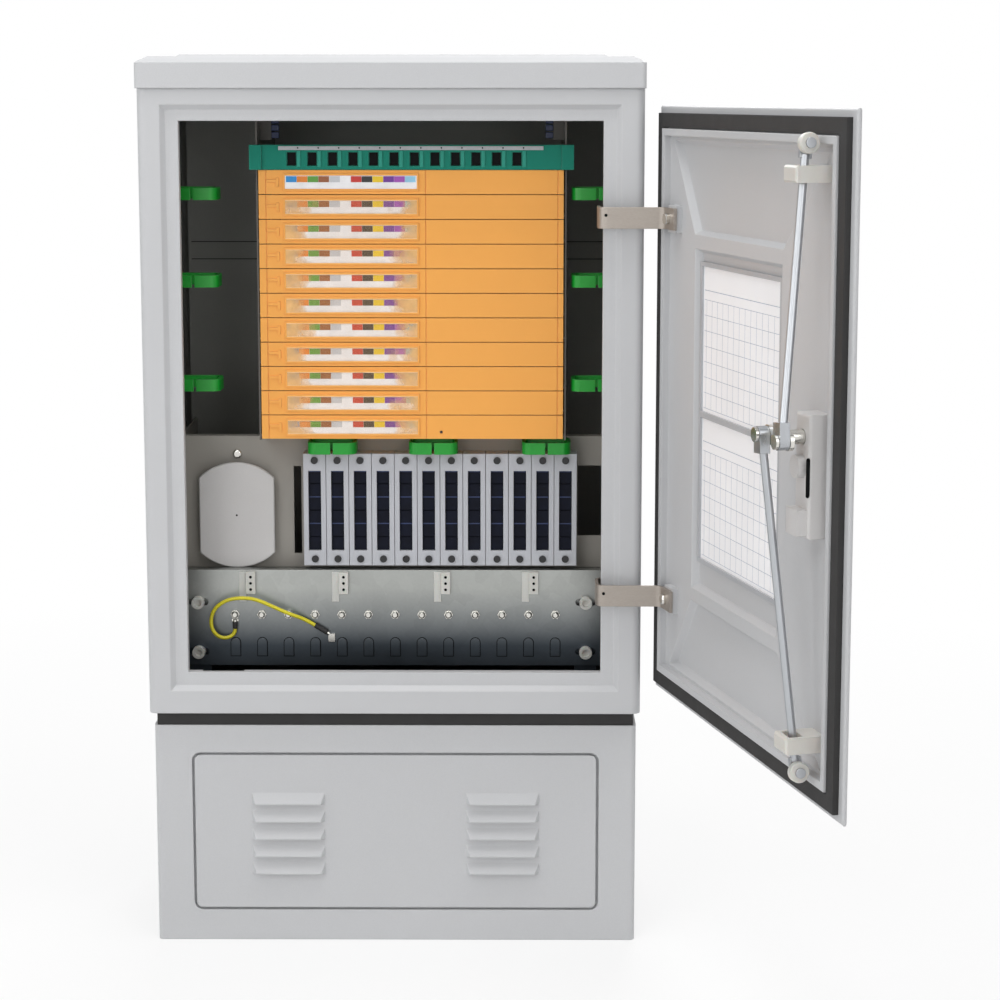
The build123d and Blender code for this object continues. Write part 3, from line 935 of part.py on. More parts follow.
# Cam on the spindle's inner end, with a pin for each rod
with BuildPart() as lock_cam:
    with BuildSketch(DOOR.offset(hub_n1)):
        with Locations((LOCK_U, LOCK_Z)):
            Circle(SPINDLE_R)
    extrude(amount=CAM_N0 - hub_n1)
    cam_pins = [(LOCK_U + CAM_R, LOCK_Z), (LOCK_U - CAM_R, LOCK_Z)]
    with BuildSketch(DOOR.offset(CAM_N0)):
        with Locations(*cam_pins):
            Circle(CAM_EYE_R)
        outline(LOCK_U - CAM_R, LOCK_U + CAM_R, LOCK_Z - CAM_EYE_R, LOCK_Z + CAM_EYE_R)
    extrude(amount=CAM_T)
    with BuildSketch(DOOR.offset(CAM_N0 + CAM_T)):
        with Locations(*cam_pins):
            Circle(CAM_PIN_R)
    extrude(amount=CAM_PIN_L)
    with BuildSketch(DOOR.offset(CAM_N0 + CAM_T + CAM_PIN_L)):
        with Locations(*cam_pins):
            Circle(CAM_HEAD_R)
    extrude(amount=CAM_HEAD_T)
finish(lock_cam, "lock_cam")

# Lock rods from the cam's pins through the guides, each with a roller at its end
clevis_n = CAM_N0 + CAM_T + CLEVIS_GAP
rod_n = clevis_n + CLEVIS_T / 2
for (pin_u, pin_z), guide_z, name in zip(cam_pins, GUIDE_ZS, ("upper", "lower")):
    start = Vector(*DOOR.from_local_coords((pin_u, pin_z, rod_n)))
    guide = Vector(*DOOR.from_local_coords((LOCK_U, guide_z, ROD_GUIDE_N)))
    rod_l = (guide - start).length + ROLLER_BEYOND
    ROD = Plane(origin=start, x_dir=across, z_dir=guide - start)
    lean = degrees(atan2(guide_z - pin_z, LOCK_U - pin_u))
    with BuildPart(ROD) as rod:
        with BuildSketch(DOOR.offset(clevis_n)):
            with Locations((pin_u, pin_z)):
                Circle(CLEVIS_R)
                Rectangle(CLEVIS_L, CLEVIS_R * 2, rotation=lean, align=(Align.MIN, Align.CENTER))
        extrude(amount=CLEVIS_T)
        with BuildSketch(ROD.offset(CLEVIS_L / 2)):
            Circle(ROD_R)
        extrude(amount=rod_l - FORK_L / 2 - CLEVIS_L / 2)
        half_t = FORK_T / 2
        block((-half_t, -FORK_HALF_D, rod_l - FORK_BACK), (half_t, FORK_HALF_D, rod_l + FORK_HALF_D))
        axle_base = ROD.from_local_coords((half_t, 0, rod_l))
        with BuildSketch(Plane(origin=axle_base, x_dir=ROD.z_dir, z_dir=ROD.x_dir)):
            Circle(AXLE_R)
        extrude(amount=ROLLER_W + ROLLER_GAP * 2)
        head_base = ROD.from_local_coords((half_t + ROLLER_W + ROLLER_GAP * 2, 0, rod_l))
        with BuildSketch(Plane(origin=head_base, x_dir=ROD.z_dir, z_dir=ROD.x_dir)):
            Circle(AXLE_HEAD_R)
        extrude(amount=AXLE_HEAD_T)
        with BuildSketch(DOOR.offset(clevis_n)):
            with Locations((pin_u, pin_z)):
                Circle(CAM_PIN_BORE_R)
        extrude(amount=CLEVIS_T, mode=Mode.SUBTRACT)
    finish(rod, f"{name}_rod")
    roller_base = ROD.from_local_coords((half_t + ROLLER_GAP, 0, rod_l))
    with BuildPart() as roller:
        with BuildSketch(Plane(origin=roller_base, x_dir=ROD.z_dir, z_dir=ROD.x_dir)):
            Circle(ROLLER_R)
            Circle(ROLLER_BORE_R, mode=Mode.SUBTRACT)
        extrude(amount=ROLLER_W)
        rims = roller.edges().filter_by(GeomType.CIRCLE).sort_by(SortBy.RADIUS)[-2:]
        chamfer(rims, ROLLER_EDGE)
    finish(roller, f"{name}_roller")
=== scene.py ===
import bpy
import bmesh
import math
from mathutils import Matrix, Vector


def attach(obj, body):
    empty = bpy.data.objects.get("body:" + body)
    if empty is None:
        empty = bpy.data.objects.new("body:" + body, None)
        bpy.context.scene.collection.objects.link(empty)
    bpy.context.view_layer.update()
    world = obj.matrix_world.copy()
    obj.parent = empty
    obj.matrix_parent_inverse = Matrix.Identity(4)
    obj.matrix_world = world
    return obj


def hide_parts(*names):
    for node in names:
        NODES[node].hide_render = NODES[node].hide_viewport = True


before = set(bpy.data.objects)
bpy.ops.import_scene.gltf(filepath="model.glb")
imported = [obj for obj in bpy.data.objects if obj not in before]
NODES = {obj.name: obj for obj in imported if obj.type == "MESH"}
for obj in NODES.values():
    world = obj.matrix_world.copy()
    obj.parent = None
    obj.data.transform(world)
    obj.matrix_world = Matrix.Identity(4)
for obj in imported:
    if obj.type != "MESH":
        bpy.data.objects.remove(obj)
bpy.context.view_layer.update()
scene = bpy.context.scene
scene.view_settings.view_transform = "Standard"
MM = 0.001
TRAYS = [f"tray_{i:02d}" for i in range(1, 12)]

# The door's own coordinates at rest: across from the hinge edge, up, and inward from the gasket's face
SWING = math.radians(106.2)
PIVOT = Vector((270, -120, 0))
PIVOT_TO_EDGE, PIVOT_TO_FACE = 22.5, 24.3
ACROSS = Vector((-math.cos(SWING), -math.sin(SWING), 0))
INWARD = Vector((-math.sin(SWING), math.cos(SWING), 0))
CORNER = (PIVOT + ACROSS * PIVOT_TO_EDGE - INWARD * PIVOT_TO_FACE) * MM
DOOR = Matrix.Translation(CORNER) @ Matrix((ACROSS, (0, 0, 1), INWARD)).transposed().to_4x4()

# Ground plate: its front, its foot, and the row of studs and tabs
PLATE_Y, PLATE_Z0 = -60, 311
STUD_X0, STUD_PITCH, STUD_COUNT = -193.6, 31.74, 13

# Camera, at the photograph's angle
EYE = (0.1351, -2.5854, 0.9865)
PITCH, YAW, ROLL = (math.radians(angle) for angle in (7.617, -0.308, -0.005))
SENSOR, LENS, SHIFT_Y = 36, 78.155, -0.115


def place_camera():
    level_reach = math.cos(PITCH)
    ahead = Vector((math.sin(YAW) * level_reach, math.cos(YAW) * level_reach, -math.sin(PITCH)))
    right = Vector((math.cos(YAW), -math.sin(YAW), 0))
    down = ahead.cross(right)
    level = right * math.cos(ROLL) + down * math.sin(ROLL)
    up = right * math.sin(ROLL) - down * math.cos(ROLL)
    data = bpy.data.cameras.new("camera")
    data.sensor_width, data.lens, data.shift_y = SENSOR, LENS, SHIFT_Y
    camera = bpy.data.objects.new("camera", data)
    camera.matrix_world = Matrix.Translation(EYE) @ Matrix((level, up, -ahead)).transposed().to_4x4()
    scene.collection.objects.link(camera)
    scene.camera = camera


place_camera()


# Materials
WHITE = (1, 1, 1, 1)


def linear(*rgb):
    """An sRGB colour of 0 to 255 as a linear one with alpha."""
    return [((c / 255 + 0.055) / 1.055) ** 2.4 for c in rgb] + [1]


def wire(tree, kind, inputs=(), **settings):
    """A node of that kind, with its settings made and its inputs set or linked."""
    node = tree.nodes.new("ShaderNode" + kind)
    for key, value in settings.items():
        setattr(node, key, value)
    for key, value in dict(inputs).items():
        if isinstance(value, bpy.types.NodeSocket):
            tree.links.new(value, node.inputs[key])
        else:
            node.inputs[key].default_value = value
    return node


def maths(tree, operation, *values, **settings):
    return wire(tree, "Math", dict(enumerate(values)), operation=operation, **settings).outputs[0]


def blend(tree, factor, first, second, **settings):
    """first and second mixed by the factor; a Mix node's colours are its inputs 6 and 7."""
    inputs = {"Factor": factor, 6: first, 7: second}
    return wire(tree, "Mix", inputs, data_type="RGBA", **settings).outputs[2]


def spread(tree, value, low, high, start=0.3, end=0.7):
    """value, from start to end, stretched over low to high; noise lies mostly within 0.3 to 0.7."""
    inputs = {"Value": value, "From Min": start, "From Max": end, "To Min": low, "To Max": high}
    return wire(tree, "MapRange", inputs).outputs["Result"]


def noise(tree, place, scale, detail):
    return wire(tree, "TexNoise", {"Vector": place, "Scale": scale, "Detail": detail}).outputs["Fac"]


def new_material(name):
    made = bpy.data.materials.new(name)
    made.use_nodes = True
    return made, made.node_tree, made.node_tree.nodes["Principled BSDF"]


# What the finishes share; an edge gets a painted highlight, mixed towards white, where its softened normal turns
# away from the face's own
PATCH_DETAIL, GRAIN_DETAIL, BUMP_DETAIL = 4.0, 2.0, 3.0
BUMP_DISTANCE, EDGE_SAMPLES, SMOOTHEST = 0.001, 4, 0.02
HIGHLIGHT_TURN, WHOLE_TURN = 0.75, 0.995


def look(name, colour, rough, metal=0.0, patch=(9, 0.06), grain=(700, 0.05), bump=(900, 0.04),
         stretch=(1, 1, 1), edge=0.0, edge_highlight=0.0, rough_vary=0.08, cells=None, inside_shade=None, painted_reflection=None,
         **sockets):
    """A procedural finish: large patches, fine grain, uneven roughness, a small bump and softened edges, which may
    carry a painted highlight.

    patch, grain, bump and cells are each a scale and a strength. A painted reflection, darker towards the bottom,
    takes a lower colour and its heights."""
    made, tree, shader = new_material(name)
    place = wire(tree, "TexCoord").outputs["Object"]
    along = wire(tree, "Mapping", {"Vector": place, "Scale": stretch}).outputs["Vector"]
    coarse = noise(tree, along, patch[0], PATCH_DETAIL)
    fine = noise(tree, along, grain[0], GRAIN_DETAIL)
    shade = maths(tree, "MULTIPLY", spread(tree, coarse, 1 - patch[1], 1 + patch[1]),
                  spread(tree, fine, 1 - grain[1], 1 + grain[1]))
    if cells:
        spangle = wire(tree, "TexVoronoi", {"Vector": along, "Scale": cells[0]}).outputs["Color"]
        tone = wire(tree, "SeparateColor", {"Color": spangle}).outputs["Red"]
        shade = maths(tree, "MULTIPLY", shade, spread(tree, tone, 1 - cells[1], 1 + cells[1], 0, 1))
    base = colour
    if inside_shade:
        # Painted shade: faces within the cabinet take the darker colour
        base = painted_inside_shade(tree, place, colour, inside_shade)
    elif painted_reflection:
        # Painted reflection: the colour turns to the darker lower one towards the bottom
        height = wire(tree, "SeparateXYZ", {"Vector": place}).outputs["Z"]
        base = blend(tree, spread(tree, height, 1.0, 0.0, painted_reflection[1], painted_reflection[2]), colour, painted_reflection[0])
    tint = blend(tree, 1.0, base, shade, blend_type="MULTIPLY")
    normal = None
    if edge:
        normal = wire(tree, "Bevel", {"Radius": edge}, samples=EDGE_SAMPLES).outputs["Normal"]
        # Painted highlight: the edge's colour is mixed towards white
        if edge_highlight:
            true = wire(tree, "NewGeometry").outputs["Normal"]
            turn = wire(tree, "VectorMath", {0: normal, 1: true}, operation="DOT_PRODUCT").outputs["Value"]
            painted_highlight = spread(tree, turn, edge_highlight, 0.0, HIGHLIGHT_TURN, WHOLE_TURN)
            tint = blend(tree, painted_highlight, tint, WHITE)
    tree.links.new(tint, shader.inputs["Base Color"])
    uneven = spread(tree, coarse, max(rough - rough_vary, SMOOTHEST), rough + rough_vary)
    tree.links.new(uneven, shader.inputs["Roughness"])
    if bump[1]:
        relief = noise(tree, along, bump[0], BUMP_DETAIL)
        dent = wire(tree, "Bump", {"Height": relief, "Strength": bump[1], "Distance": BUMP_DISTANCE})
        if normal:
            tree.links.new(normal, dent.inputs["Normal"])
        normal = dent.outputs["Normal"]
    if normal:
        tree.links.new(normal, shader.inputs["Normal"])
    shader.inputs["Metallic"].default_value = metal
    for key, value in sockets.items():
        shader.inputs[key.replace("_", " ")].default_value = value
    return made


# The cabinet's hollow, as a middle and a half size on each axis, in metres; faces within it get a painted shade
INSIDE = (("X", 0, 0.2795), ("Y", 0.004, 0.1415), ("Z", 0.65, 0.368))


def painted_inside_shade(tree, place, colour, shade_colour):
    """The outer colour, with a darker colour, a painted shade, on what faces the cabinet's hollow."""
    axes = wire(tree, "SeparateXYZ", {"Vector": place}).outputs
    mask = None
    for axis, middle, half in INSIDE:
        far = maths(tree, "ABSOLUTE", maths(tree, "SUBTRACT", axes[axis], middle))
        near = maths(tree, "LESS_THAN", far, half)
        mask = near if mask is None else maths(tree, "MULTIPLY", mask, near)
    return blend(tree, mask, colour, shade_colour)


GREY = linear(197, 198, 200)
MOULDED = dict(patch=(3, 0.025), grain=(1400, 0.03), bump=(1500, 0.05), edge=0.0022)
# Where a finish below lightens its edges, that is a painted highlight
moulded = look("moulded_grey", GREY, 0.42, edge_highlight=0.25, Specular_IOR_Level=0.45, **MOULDED)
# Side and rear panels: their inner faces painted darker, a painted shade
moulded_inside_shaded = look("moulded_grey_inside_shaded", GREY, 0.42, inside_shade=linear(140, 140, 136), Specular_IOR_Level=0.45, **MOULDED)
# Floor panel: its inner face painted near black, a painted shade
moulded_inside_dark_shaded = look("moulded_grey_inside_dark_shade", GREY, 0.42, inside_shade=linear(34, 34, 36), Specular_IOR_Level=0.3, **MOULDED)
liner = look("liner_grey", linear(142, 142, 138), 0.6, patch=(5, 0.1), grain=(900, 0.06), bump=(700, 0.06))
rack = look("rack_grey", linear(104, 101, 96), 0.5, patch=(12, 0.1), edge=0.0006)
rubber = look("black_rubber", linear(44, 43, 43), 0.72, patch=(30, 0.12), grain=(1800, 0.12), bump=(1500, 0.2),
              edge=0.002)
orange = look("tray_orange", linear(248, 172, 78), 0.46, patch=(6, 0.03), grain=(1600, 0.02), bump=(1300, 0.03),
              edge=0.0007, edge_highlight=0.1, Subsurface_Weight=0.03)
teal = look("tray_teal", linear(14, 128, 108), 0.46, patch=(10, 0.05), grain=(1500, 0.03), bump=(1300, 0.04),
            edge=0.0008, edge_highlight=0.1, Specular_IOR_Level=0.2)
strip = look("strip_grey", linear(178, 180, 184), 0.4, patch=(16, 0.05), edge=0.0006)
green = look("ring_green", linear(18, 152, 44), 0.4, patch=(20, 0.06), grain=(1300, 0.04), bump=(900, 0.04),
             edge=0.001, edge_highlight=0.12, Subsurface_Weight=0.05)
beige = look("plate_beige", linear(157, 153, 146), 0.52, patch=(7, 0.05), grain=(1200, 0.04), bump=(1100, 0.06),
             edge=0.0008)
pale = look("spool_grey", linear(206, 204, 203), 0.42, patch=(10, 0.03), grain=(1500, 0.02), bump=(1200, 0.03),
            edge=0.001)
parking = look("parking_grey", linear(190, 192, 198), 0.38, patch=(18, 0.04), grain=(1500, 0.03),
               bump=(1200, 0.03), edge=0.0006, edge_highlight=0.15)
navy = look("adapter_navy", linear(16, 19, 32), 0.5, patch=(60, 0.35), grain=(1500, 0.06), bump=(900, 0.05),
            edge=0.0005, Specular_IOR_Level=0.12)
black = look("screw_black", linear(26, 26, 28), 0.35, patch=(90, 0.2), edge=0.0005)
bright = look("bright_steel", linear(214, 212, 206), 0.16, metal=1.0, patch=(60, 0.06), grain=(900, 0.05),
              bump=(600, 0.03), edge=0.0006)
# Galvanised steel; darker and bluer towards its foot, a painted reflection of the dark ground
zinc = look("galvanised", linear(166, 168, 165), 0.4, metal=1.0, patch=(4, 0.09), grain=(300, 0.02),
            bump=(240, 0.012), cells=(70, 0.035), edge=0.0006, rough_vary=0.06,
            painted_reflection=(linear(82, 89, 96), 0.335, 0.405))
hinge = look("hinge_steel", linear(166, 158, 150), 0.48, metal=0.7, patch=(30, 0.05), grain=(240, 0.045),
             bump=(300, 0.03), stretch=(1, 1, 7), edge=0.0009, rough_vary=0.06)
rods = look("rod_steel", linear(180, 183, 187), 0.32, metal=0.9, patch=(25, 0.03), grain=(300, 0.02),
            bump=(300, 0.012), stretch=(1, 1, 0.2), edge=0.0006)
nylon = look("nylon_white", linear(212, 209, 203), 0.42, patch=(30, 0.03), grain=(1200, 0.02), bump=(900, 0.03),
             edge=0.0008, Subsurface_Weight=0.08)
paper = look("card_white", linear(252, 252, 254), 0.6, patch=(12, 0.02), grain=(2500, 0.02), bump=(2000, 0.05))
handle = look("handle_grey", linear(170, 171, 174), 0.34, metal=0.6, patch=(30, 0.06), grain=(500, 0.04),
              bump=(700, 0.04), edge=0.001)
ink = look("print_grey", linear(168, 178, 194), 0.6, patch=(40, 0.1), grain=(900, 0.05), bump=(900, 0.0))
# Dark: seams and screw marks, and painted shade in holes, gaps, slots and windows
dark = look("dark_marks_and_painted_shade", linear(10, 11, 12), 0.6, patch=(80, 0.2), grain=(900, 0.1), bump=(700, 0.04),
            Specular_IOR_Level=0.1)
# Ribs: a lighter copy of the tray's teal, painted light
rib_teal_painted_light = look("rib_teal_painted_light", linear(40, 150, 130), 0.46, patch=(10, 0.05), grain=(1500, 0.03), bump=(1300, 0.04),
                Specular_IOR_Level=0.3)
blue = look("fitting_blue", linear(34, 50, 92), 0.4, patch=(60, 0.15), grain=(900, 0.05), bump=(700, 0.04),
            edge=0.0006)
cover_rim = look("cover_rim", linear(255, 214, 160), 0.3, patch=(60, 0.08), grain=(900, 0.04), bump=(700, 0.03))

FINISH = {
    moulded: ["roof_cap", "front_frame", "plinth", "plinth_cover", "door_panel"],
    moulded_inside_shaded: ["left_side_panel", "right_side_panel", "rear_panel"],
    moulded_inside_dark_shaded: ["floor_panel"],
    liner: ["rack_back_plate"],
    rack: ["tray_rack", "rack_standoffs"],
    rubber: ["neck_seal", "cable_grommets", "door_gasket", "earth_sleeves"],
    orange: TRAYS,
    teal: ["adapter_tray"],
    strip: ["adapter_strip", "card_holder"],
    green: ["fibre_rings"],
    beige: ["mid_plate"],
    pale: ["spool_cover", "lock_case"],
    parking: ["parking_frames"],
    navy: ["parking_adapters"],
    black: ["parking_screws"],
    bright: ["spool_screw", "ground_studs", "hinge_bolts", "lock_cam", "earth_lugs"],
    zinc: ["ground_plate", "ground_brackets"],
    hinge: ["hinge_brackets", "hinge_pins", "hinge_straps"],
    rods: ["upper_rod", "lower_rod"],
    nylon: ["insulating_bolts", "plate_clips", "rod_guides", "upper_roller", "lower_roller"],
    paper: ["record_cards"],
    handle: ["lock_handle", "lock_escutcheon"],
}
for finish, names in FINISH.items():
    for name in names:
        for place in NODES[name].material_slots:
            place.material = finish

# Earth wire: one flexible lead, yellow with a green stripe, on the route that the CAD gives its solid
WIRE_R, STRIPE_SHARE = 2.2, 0.3
ROUTE_SHARES = (0, 0, -0.454, -0.816, -0.895, -0.737, -0.296, 0.239, 0.807, 1.531, 2.098, 2.631, 2.996)
ROUTE_OUTS = (4.6, 4.6, 9, 11, 11, 11, 11.5, 12, 12, 10, 12, 4.6, 4.6)
ROUTE_RISES = (46, 38, 34, 43, 58, 72, 82, 85, 83.5, 72.5, 65, 57.2, 50)


def striped_yellow():
    made = look("wire_yellow", linear(226, 214, 40), 0.36, patch=(40, 0.05), grain=(900, 0.03), bump=(700, 0.03))
    tree = made.node_tree
    colour = tree.nodes["Principled BSDF"].inputs["Base Color"]
    yellow = colour.links[0].from_socket
    around = wire(tree, "SeparateXYZ", {"Vector": wire(tree, "TexCoord").outputs["UV"]}).outputs["Y"]
    stripe = maths(tree, "LESS_THAN", around, STRIPE_SHARE)
    tree.links.new(blend(tree, stripe, yellow, linear(66, 140, 40)), colour)
    return made


def earth_wire():
    route = [(STUD_X0 + STUD_PITCH * share, PLATE_Y - out, PLATE_Z0 + rise)
             for share, out, rise in zip(ROUTE_SHARES, ROUTE_OUTS, ROUTE_RISES)]
    curve = bpy.data.curves.new("earth_wire_lead", "CURVE")
    curve.dimensions = "3D"
    curve.bevel_depth, curve.bevel_resolution, curve.use_fill_caps = WIRE_R * MM, 5, True
    spline = curve.splines.new("NURBS")
    spline.points.add(len(route) - 1)
    for point, spot in zip(spline.points, route):
        point.co = (*[c * MM for c in spot], 1)
    spline.order_u = 3
    spline.use_endpoint_u = True
    spline.resolution_u = 10
    lead = bpy.data.objects.new("earth_wire_lead", curve)
    scene.collection.objects.link(lead)
    curve.materials.append(striped_yellow())
    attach(lead, "cabinet")
    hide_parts("earth_wire")


earth_wire()

# Small pieces built from bevelled blocks and discs, in millimetres
DISC_SIDES, DISC_TAPER = 20, 0.9
DEPTHWISE = (0, 1, 0)


def piece(name, body, finishes, blocks=(), discs=(), space=Matrix(), bevel=0.0):
    """One mesh of blocks (low, high, finish) and discs (centre, axis, radius, height, finish)."""
    made = bmesh.new()
    for low, high, index in blocks:
        corners = bmesh.ops.create_cube(made, size=1)["verts"]
        for corner in corners:
            corner.co = Vector([a + (c + 0.5) * (b - a) for a, b, c in zip(low, high, corner.co)]) * MM
        for face in {f for corner in corners for f in corner.link_faces}:
            face.material_index = index
    for centre, axis, radius, height, index in discs:
        turn = Vector((0, 0, 1)).rotation_difference(Vector(axis)).to_matrix().to_4x4()
        corners = bmesh.ops.create_cone(
            made, cap_ends=True, segments=DISC_SIDES, radius1=radius * MM, radius2=radius * MM * DISC_TAPER,
            depth=height * MM, matrix=Matrix.Translation(Vector(centre) * MM) @ turn)["verts"]
        for face in {f for corner in corners for f in corner.link_faces}:
            face.material_index = index
    made.transform(space)
    mesh = bpy.data.meshes.new(name)
    made.to_mesh(mesh)
    made.free()
    for finish in finishes:
        mesh.materials.append(finish)
    obj = bpy.data.objects.new(name, mesh)
    scene.collection.objects.link(obj)
    if bevel:
        soft = obj.modifiers.new("soft edges", "BEVEL")
        soft.width, soft.segments, soft.limit_method = bevel * MM, 2, "ANGLE"
    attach(obj, body)


# Tray labels: a row of colour cells over a row of white ones, under a scuffed clear cover
TRAY_TOP, TRAY_PITCH, TRAY_FACE_H = 900.5, 28.5, 27.6
LABEL_X0, LABEL_X1, LABEL_HALF_H, LABEL_Y0, LABEL_Y1 = -126, 26, 7.6, -80.7, -80.4
CELL_X0, CELL_PITCH, CELL_W, CELL_FRONT = -124.6, 12.45, 12.2, -80.95
CELL_TOP, CELL_FOOT, CELL_SPLIT = 6.9, 7, 0.3
COVER_Y0, COVER_Y1, COVER_HALF_H, COVER_EDGE = -81.5, -81.1, 8, 0.15
RIM_FRONT, RIM_H = -81.8, 0.7
HOLE_X, HOLE_Y, HOLE_Z, HOLE_R, HOLE_H = 53, -80.12, 596, 1.5, 0.1
HOLE_RIM_Y, HOLE_RIM_R, HOLE_RIM_H = -80.04, 2.3, 0.06
CELLS = [(38, 138, 205), (226, 130, 40), (88, 150, 56), (150, 88, 48), (200, 202, 206), (243, 243, 245),
         (196, 52, 44), (34, 32, 34), (236, 200, 40), (112, 52, 150), (160, 80, 178), (150, 205, 232)]
WHITE_CELL, PAPER = 5, len(CELLS)
cell_looks = [look(f"cell_{i + 1:02d}", linear(*rgb), 0.4, patch=(60, 0.06), grain=(1500, 0.03),
                   bump=(900, 0.02)) for i, rgb in enumerate(CELLS)]


def clear_cover():
    """Clear in the middle, hazed towards both ends and in blotches."""
    made, tree, shader = new_material("label_cover")
    label_middle, clear_to, hazed_from = -0.05, 0.03, 0.078
    end_haze, blotch_haze, cover_alpha, cover_rough = (-0.55, 0.62), (-0.2, 0.55), (0.06, 0.8), (0.12, 0.3)
    blotch_scale, blotch_detail = 38.0, 3.0
    place = wire(tree, "TexCoord").outputs["Object"]
    axes = wire(tree, "SeparateXYZ", {"Vector": place}).outputs
    far = maths(tree, "ABSOLUTE", maths(tree, "SUBTRACT", axes["X"], label_middle))
    blotch = noise(tree, place, blotch_scale, blotch_detail)
    ends = spread(tree, far, *end_haze, clear_to, hazed_from)
    haze = maths(tree, "ADD", ends, spread(tree, blotch, *blotch_haze), use_clamp=True)
    tree.links.new(spread(tree, haze, *cover_alpha, 0.0, 1.0), shader.inputs["Alpha"])
    tree.links.new(spread(tree, blotch, *cover_rough), shader.inputs["Roughness"])
    shader.inputs["Base Color"].default_value = linear(255, 204, 134)
    return made


cover = clear_cover()
for i, name in enumerate(TRAYS):
    middle = TRAY_TOP - TRAY_PITCH * i - TRAY_FACE_H / 2
    cells = [((LABEL_X0, LABEL_Y0, middle - LABEL_HALF_H), (LABEL_X1, LABEL_Y1, middle + LABEL_HALF_H), PAPER)]
    for k in range(len(CELLS)):
        left = CELL_X0 + CELL_PITCH * k
        right = left + CELL_W
        cells.append(((left, CELL_FRONT, middle), (right, LABEL_Y0, middle + CELL_TOP), k))
        cells.append(((left, CELL_FRONT, middle - CELL_FOOT), (right, LABEL_Y0, middle - CELL_SPLIT), WHITE_CELL))
    piece(f"{name}_label", f"{name}_body", cell_looks + [paper], cells)
    if i:
        low, high = middle - COVER_HALF_H, middle + COVER_HALF_H
        sheet = [((LABEL_X0, COVER_Y0, low), (LABEL_X1, COVER_Y1, high), 0)]
        for z in (low, high - RIM_H):
            sheet.append(((LABEL_X0, RIM_FRONT, z), (LABEL_X1, COVER_Y0, z + RIM_H), 1))
        piece(f"{name}_cover", f"{name}_body", [cover, cover_rim], sheet, bevel=COVER_EDGE)
# Tray 11: a hole painted as a black disc of shade, in an orange rim
piece("tray_11_hole_shade", "tray_11_body", [black, orange],
      discs=[((HOLE_X, HOLE_Y, HOLE_Z), DEPTHWISE, HOLE_R, HOLE_H, 0),
             ((HOLE_X, HOLE_RIM_Y, HOLE_Z), DEPTHWISE, HOLE_RIM_R, HOLE_RIM_H, 1)])

# Adapter tray: in each window a dark block with a sill, painted shade; a dot over it; and a rib beside it in a
# lighter teal, painted light
PORT_X0, PORT_PITCH, PORT_COUNT, PORT_HALF_W = -118, 23.56, 12, 4.7
PORT_Z0, PORT_Z1, SILL_Z1 = 906.3, 920.6, 907.6
PORT_BACK, PORT_FRONT, SILL_FRONT = -77.02, -77.8, -78.3
DOT_ASIDE, DOT_Y, DOT_Z, DOT_R, DOT_H = 7.5, -82.05, 926, 0.95, 0.3
RIB_ASIDE, RIB_FAR, RIB_FRONT, RIB_BACK, RIB_Z0, RIB_Z1 = 6.2, 10.4, -81.3, -80.01, 904, 922.6
RIB_EDGE = 0.4
port_shade, dots, ribs = [], [], []
for k in range(PORT_COUNT):
    x = PORT_X0 + PORT_PITCH * k
    left, right = x - PORT_HALF_W, x + PORT_HALF_W
    port_shade.append(((left, PORT_FRONT, PORT_Z0), (right, PORT_BACK, PORT_Z1), 0))
    port_shade.append(((left, SILL_FRONT, PORT_Z0), (right, PORT_FRONT, SILL_Z1), 0))
    dots.append(((x + DOT_ASIDE, DOT_Y, DOT_Z), DEPTHWISE, DOT_R, DOT_H, 0))
    ribs.append(((x + RIB_ASIDE, RIB_FRONT, RIB_Z0), (x + RIB_FAR, RIB_BACK, RIB_Z1), 0))
piece("adapter_port_shade_and_dots", "adapter_tray_body", [dark], port_shade, dots)
piece("adapter_ribs", "adapter_tray_body", [rib_teal_painted_light], ribs, bevel=RIB_EDGE)

# Inside the head: blue fittings beside the rack's flanges, and the seams of the rear plate
FITTING_XS, FITTING_ZS, FITTING_EDGE = (-145, 174.5), (936, 944.5, 953), 0.8
FITTING_W, FITTING_H, FITTING_Y0, FITTING_Y1 = 9, 7.4, -42, -38
SEAM_SPANS, SEAM_ZS = ((-264, -161), (199.5, 264)), (783.5, 805)
SEAM_Y0, SEAM_Y1, SEAM_HALF_H = 117.75, 118, 0.5
fittings = [((x, FITTING_Y0, z), (x + FITTING_W, FITTING_Y1, z + FITTING_H), 0)
            for x in FITTING_XS for z in FITTING_ZS]
piece("head_fittings", "cabinet", [blue], fittings, bevel=FITTING_EDGE)
seams = [((low, SEAM_Y0, z - SEAM_HALF_H), (high, SEAM_Y1, z + SEAM_HALF_H), 0)
         for low, high in SEAM_SPANS for z in SEAM_ZS]
piece("rear_plate_seams", "cabinet", [dark], seams)

